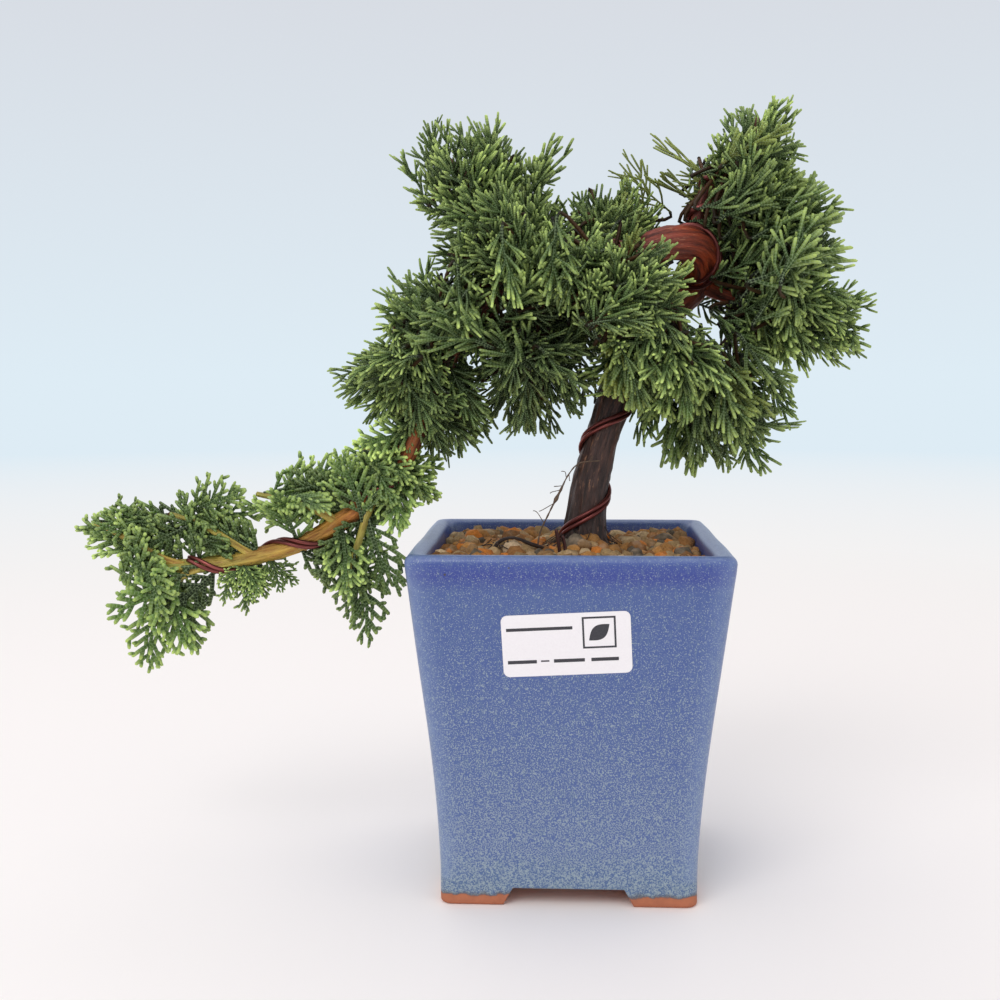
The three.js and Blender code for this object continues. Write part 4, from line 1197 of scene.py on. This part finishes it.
# One cluster fills the box of its solid. Tips lie on and inside a boxy ellipsoid, |x|^p + |y|^p + |z|^p = 1
# in its half sizes. Each spray runs to its tip away from its wood, leaning with the cluster's pull, and a
# thin twig joins it to that wood.
def clusterSurface(name, templates, rng):
    look = {**usualCluster, **clusterLooks[name]}
    spray = sprayStyles[look["style"]]
    isFan = look["style"] == "fan"
    count = look["count"]
    low, high = (np.array(corner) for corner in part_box("foliage_" + name))
    middle = ((low + high) / 2 - treeFoot) / mm + np.array(look["shift"])
    half = (high - low) / 2 / mm * np.array(look["grow"])
    outward = spherePoints(count) @ np.linalg.qr(rng.normal(size=(3, 3)))[0]
    power = foliageLook["squareness"]
    outline = outward / np.sum(np.abs(outward) ** power, axis=1, keepdims=True) ** (1 / power)
    isInner = rng.random(count) < foliageLook["innerShare"]
    inner, outer = (rng.uniform(*foliageLook[label], count) for label in ("innerReach", "outerReach"))
    reach = np.where(isInner, inner, outer)
    tips = middle + outline * half * reach[:, None]

    # how far a spray of size 1 reaches, and the wood it grows from
    forward = math.cos(math.radians(spray["open"][1])) + spray["curl"]
    reachOut = 0.96 * spray["stem"] + spray["long"][1] * forward
    gap = np.linalg.norm(tips[:, None] - woodPoints[None], axis=2)
    if isFan:
        gap = np.abs(gap - 0.95 * look["size"] * reachOut)  # a fan grows straight out of its wood
    gap += spray["nearness"] * np.linalg.norm(middle - woodPoints, axis=1)
    wood = woodPoints[np.argmin(gap, axis=1)]
    away = unit(tips - wood)
    lean = 1.6 * away if isFan else (0.6 * away + 0.5 * unit(outward / half)) * [1, foliageLook["flatten"], 1]
    pull = np.array(look["pull"]) * spray["pullShare"]
    along = unit(lean + pull + rng.normal(0, spray["spread"], (count, 3)))
    isBack = np.sum(along * away, axis=1, keepdims=True) < 0
    along = np.where(isBack, away, along)  # none grows back towards its wood
    if isFan:
        facing = unit(np.array([0, 1, 0]) + rng.normal(0, 0.3, (count, 3)))
    else:
        facing = rng.normal(size=(count, 3))
    across = unit(np.cross(facing, along))

    # a spray is no longer than the way back to its wood, so that its foot doesn't stick out beyond
    room = np.linalg.norm(tips - wood, axis=1) / reachOut
    sizes = np.clip(room, 0.6 * look["size"], look["size"] * rng.uniform(*foliageLook["sizes"], count))
    bases = wood + along if isFan else tips - along * (sizes * reachOut)[:, None]
    bows = rng.normal(0, foliageLook["bow"], (count, 2))
    inside = np.clip((reach - 0.35) / 0.6, 0, 1)  # 0 deep inside the cluster, 1 at its outline
    # painted shade: a spray deep inside the cluster has its colour cut to 0.3, partly older inner foliage and
    # partly the shade inside the mass; its tips also get less of the tip tone
    bright = look["bright"] * spray["bright"] * (0.3 + 0.7 * inside)
    bright *= rng.uniform(*foliageLook["brights"], count)
    tipShare = np.clip(look["tip"] * rng.uniform(*foliageLook["tips"], count), 0, 1) * (0.4 + 0.6 * inside)
    isOld = rng.random(count) < foliageLook["oldShare"]
    old = isOld * rng.uniform(0.2, 0.5, count) + rng.uniform(*look["old"], count)

    kind = rng.integers(0, len(templates), count)
    parts = [twigTubes(wood, bases, along, look["size"], bright)]
    for index, template in enumerate(templates):
        chosen = kind == index
        placed = [values[chosen] for values in (bases, along, across, sizes, bows)]
        part = copySprays(template, spray["stem"], *placed)
        growth = template["values"]["growth"]
        part["values"] = {"tint": shootTints(growth, bright[chosen], tipShare[chosen], old[chosen])}
        parts.append(part)
    part = joinParts(parts)
    part["points"] = toFrame(part["points"])
    return part


# Scales in crossed rows: cos(2 turns) * cos(length / pitch) makes diamonds, and pale lines part them.
def leafMaterial():
    shader = Shader("juniperScales")
    surface = shader.add("ShaderNodeUVMap", uv_map="surface").outputs["UV"]
    parted = shader.add("ShaderNodeSeparateXYZ")
    shader.link(surface, parted.inputs["Vector"])
    pitch = 2 * math.pi / foliageLook["scalePitch"]
    around = shader.math("COSINE", shader.math("MULTIPLY", parted.outputs["X"], 4 * math.pi))
    along = shader.math("COSINE", shader.math("MULTIPLY", parted.outputs["Y"], pitch))
    scales = shader.math("ABSOLUTE", shader.math("MULTIPLY", around, along))
    tint = shader.attribute("tint", "Color")
    channels = shader.add("ShaderNodeSeparateColor")
    shader.link(tint, channels.inputs["Color"])
    # brown twigs, whose red is above their green, have no pale seams
    greener = shader.math("SUBTRACT", channels.outputs["Green"], channels.outputs["Red"])
    isGreen = shader.between(greener, 0.0, 0.003)
    seam = shader.math("MULTIPLY", shader.between(scales, 0.42, 0.06), isGreen)
    mottle = shader.noise(shader.place, 420, 3, 0.6)
    colour = shader.mix(shader.between(mottle, 0.3, 0.7), (0.78, 0.80, 0.80), (1.22, 1.18, 1.05))
    colour = shader.mix(1.0, tint, colour, "MULTIPLY")
    colour = shader.mix(shader.math("MULTIPLY", seam, 0.4), colour, tone(168, 188, 142))
    shader.feed(Base_Color=colour)
    shader.set(Roughness=0.55, Specular_IOR_Level=0.25)
    shader.bump(scales, 0.00018, 0.7)
    return shader.material


foliageRng = np.random.default_rng(foliageLook["seed"])
sprays = {}
for style in sprayStyles:
    sprays[style] = [sprayTemplate(style, foliageRng) for _ in range(foliageLook["templates"])]
leaves = leafMaterial()
for clusterName, clusterLook in clusterLooks.items():
    kinds = sprays[clusterLook.get("style", usualCluster["style"])]
    part = clusterSurface(clusterName, kinds, foliageRng)
    title = clusterName.split("_")
    pieceName = title[0] + "".join(word.capitalize() for word in title[1:]) + "Foliage"
    addPiece(pieceName, part, leaves, ["foliage_" + clusterName])
    print("foliage:", clusterName, 2 * len(part["quads"]) + len(part["triangles"]), "triangles")


viewSizes = {
    "eye": (-2.7, -432.3, 170.5),  # millimetres from the middle of the pot's underside
    "yaw": -2.80,  # degrees
    "pitch": -5.71,
    "roll": 0.09,
    "lens": 45.36,
}


# Looks along (sin yaw * cos pitch, cos yaw * cos pitch, sin pitch).
def addCamera():
    size = viewSizes
    data = bpy.data.cameras.new("frontCamera")
    data.lens = size["lens"]
    data.sensor_width = 36
    data.clip_start, data.clip_end = 0.01, 50
    camera = bpy.data.objects.new("frontCamera", data)
    bpy.context.scene.collection.objects.link(camera)
    yaw, pitch = math.radians(size["yaw"]), math.radians(size["pitch"])
    forward = Vector((math.sin(yaw) * math.cos(pitch), math.cos(yaw) * math.cos(pitch), math.sin(pitch)))
    camera.rotation_mode = "QUATERNION"
    rolled = Quaternion(forward, math.radians(size["roll"]))
    camera.rotation_quaternion = rolled @ forward.to_track_quat("-Z", "Y")
    camera.location = Vector(potFoot) + Vector(size["eye"]) * mm
    bpy.context.scene.camera = camera


# The backdrop goes from pale grey-blue high up to light blue at the horizon and below.
def addBackdrop():
    world = bpy.data.worlds.new("paleStudio")
    bpy.context.scene.world = world
    world.use_nodes = True
    tree = world.node_tree
    place = tree.nodes.new("ShaderNodeTexCoord")
    parted = tree.nodes.new("ShaderNodeSeparateXYZ")
    ramp = tree.nodes.new("ShaderNodeValToRGB")
    spread = tree.nodes.new("ShaderNodeMapRange")
    spread.inputs["From Min"].default_value = -0.1
    spread.inputs["From Max"].default_value = 0.4
    tree.links.new(place.outputs["Generated"], parted.inputs["Vector"])
    tree.links.new(parted.outputs["Z"], spread.inputs["Value"])
    tree.links.new(spread.outputs["Result"], ramp.inputs["Fac"])
    elements = ramp.color_ramp.elements
    elements[0].position, elements[0].color = 0.2, (*tone(222, 236, 245), 1)
    elements[1].position, elements[1].color = 0.9, (*tone(214, 216, 223), 1)
    background = tree.nodes["Background"]
    tree.links.new(ramp.outputs["Color"], background.inputs["Color"])
    background.inputs["Strength"].default_value = 1.0


def addLight(name, place, aim, size, power, colour=(1, 1, 1)):
    data = bpy.data.lights.new(name, "AREA")
    data.shape = "RECTANGLE"
    data.size, data.size_y = size
    data.energy = power
    data.color = colour
    light = bpy.data.objects.new(name, data)
    bpy.context.scene.collection.objects.link(light)
    light.location = place
    light.rotation_mode = "QUATERNION"
    light.rotation_quaternion = (Vector(aim) - Vector(place)).to_track_quat("-Z", "Y")


floorSizes = {
    "radius": 4.0,  # metres, as the next two
    "fade": (0.05, 0.85),  # where the lit surface starts and ends to give way to the glow
    "glowFade": (0.3, 2.5),
    "near": tone(250, 244, 241),
    "far": tone(222, 236, 245),
    "surface": tone(253, 246, 241),
}


# A wide round floor whose surface fades, with the distance from the pot, into the backdrop's light.
def addFloor():
    size = floorSizes
    turn = np.arange(96) / 96 * 2 * math.pi
    edge = np.stack([np.cos(turn), np.sin(turn), 0 * turn], axis=1) * size["radius"]
    side = np.arange(len(turn))
    part = {
        "points": np.concatenate([edge, [[0, 0, 0]]]) + [potMiddle[0], 0, 0],
        "quads": np.zeros((0, 4), int),
        "triangles": np.stack([side, (side + 1) % len(turn), 0 * side + len(turn)], axis=1),
        "values": {},
    }
    shader = Shader("paleFloor")
    parted = shader.add("ShaderNodeSeparateXYZ")
    shader.link(shader.place, parted.inputs["Vector"])
    across = shader.math("SUBTRACT", parted.outputs["X"], float(potMiddle[0]))
    deep = parted.outputs["Y"]
    squared = shader.math("ADD", shader.math("POWER", across, 2.0), shader.math("POWER", deep, 2.0))
    distance = shader.math("SQRT", squared)
    shader.set(Base_Color=(*size["surface"], 1), Roughness=0.6, Specular_IOR_Level=0.2)
    glow = shader.add("ShaderNodeEmission")
    fade = shader.between(distance, *size["fade"])
    glowTone = shader.mix(shader.between(distance, *size["glowFade"]), size["near"], size["far"])
    shader.link(glowTone, glow.inputs["Color"])
    mixed = shader.add("ShaderNodeMixShader")
    shader.link(fade, mixed.inputs["Fac"])
    shader.link(shader.surface.outputs["BSDF"], mixed.inputs[1])
    shader.link(glow.outputs["Emission"], mixed.inputs[2])
    shader.link(mixed.outputs["Shader"], shader.tree.nodes["Material Output"].inputs["Surface"])
    floor = bpy.data.objects.new("paleFloor", makeMesh("paleFloor", part))
    bpy.context.scene.collection.objects.link(floor)
    floor.data.materials.append(shader.material)


addCamera()
addBackdrop()
addFloor()
aim = (potMiddle[0], 0, 0.14)
addLight("keyLight", (-0.5, -1.1, 1.25), aim, (0.9, 0.9), 9)
addLight("fillLight", (1.1, -0.8, 0.7), aim, (1.0, 1.0), 0.7, (0.94, 0.97, 1.0))
addLight("topLight", (0.1, 0.3, 1.4), aim, (1.2, 1.2), 3)
addLight("backLight", (-0.7, 1.1, 0.8), aim, (1.0, 0.8), 1.5, (0.95, 0.98, 1.0))
bpy.context.scene.view_settings.view_transform = "Standard"
print("stage: camera, floor and lights")
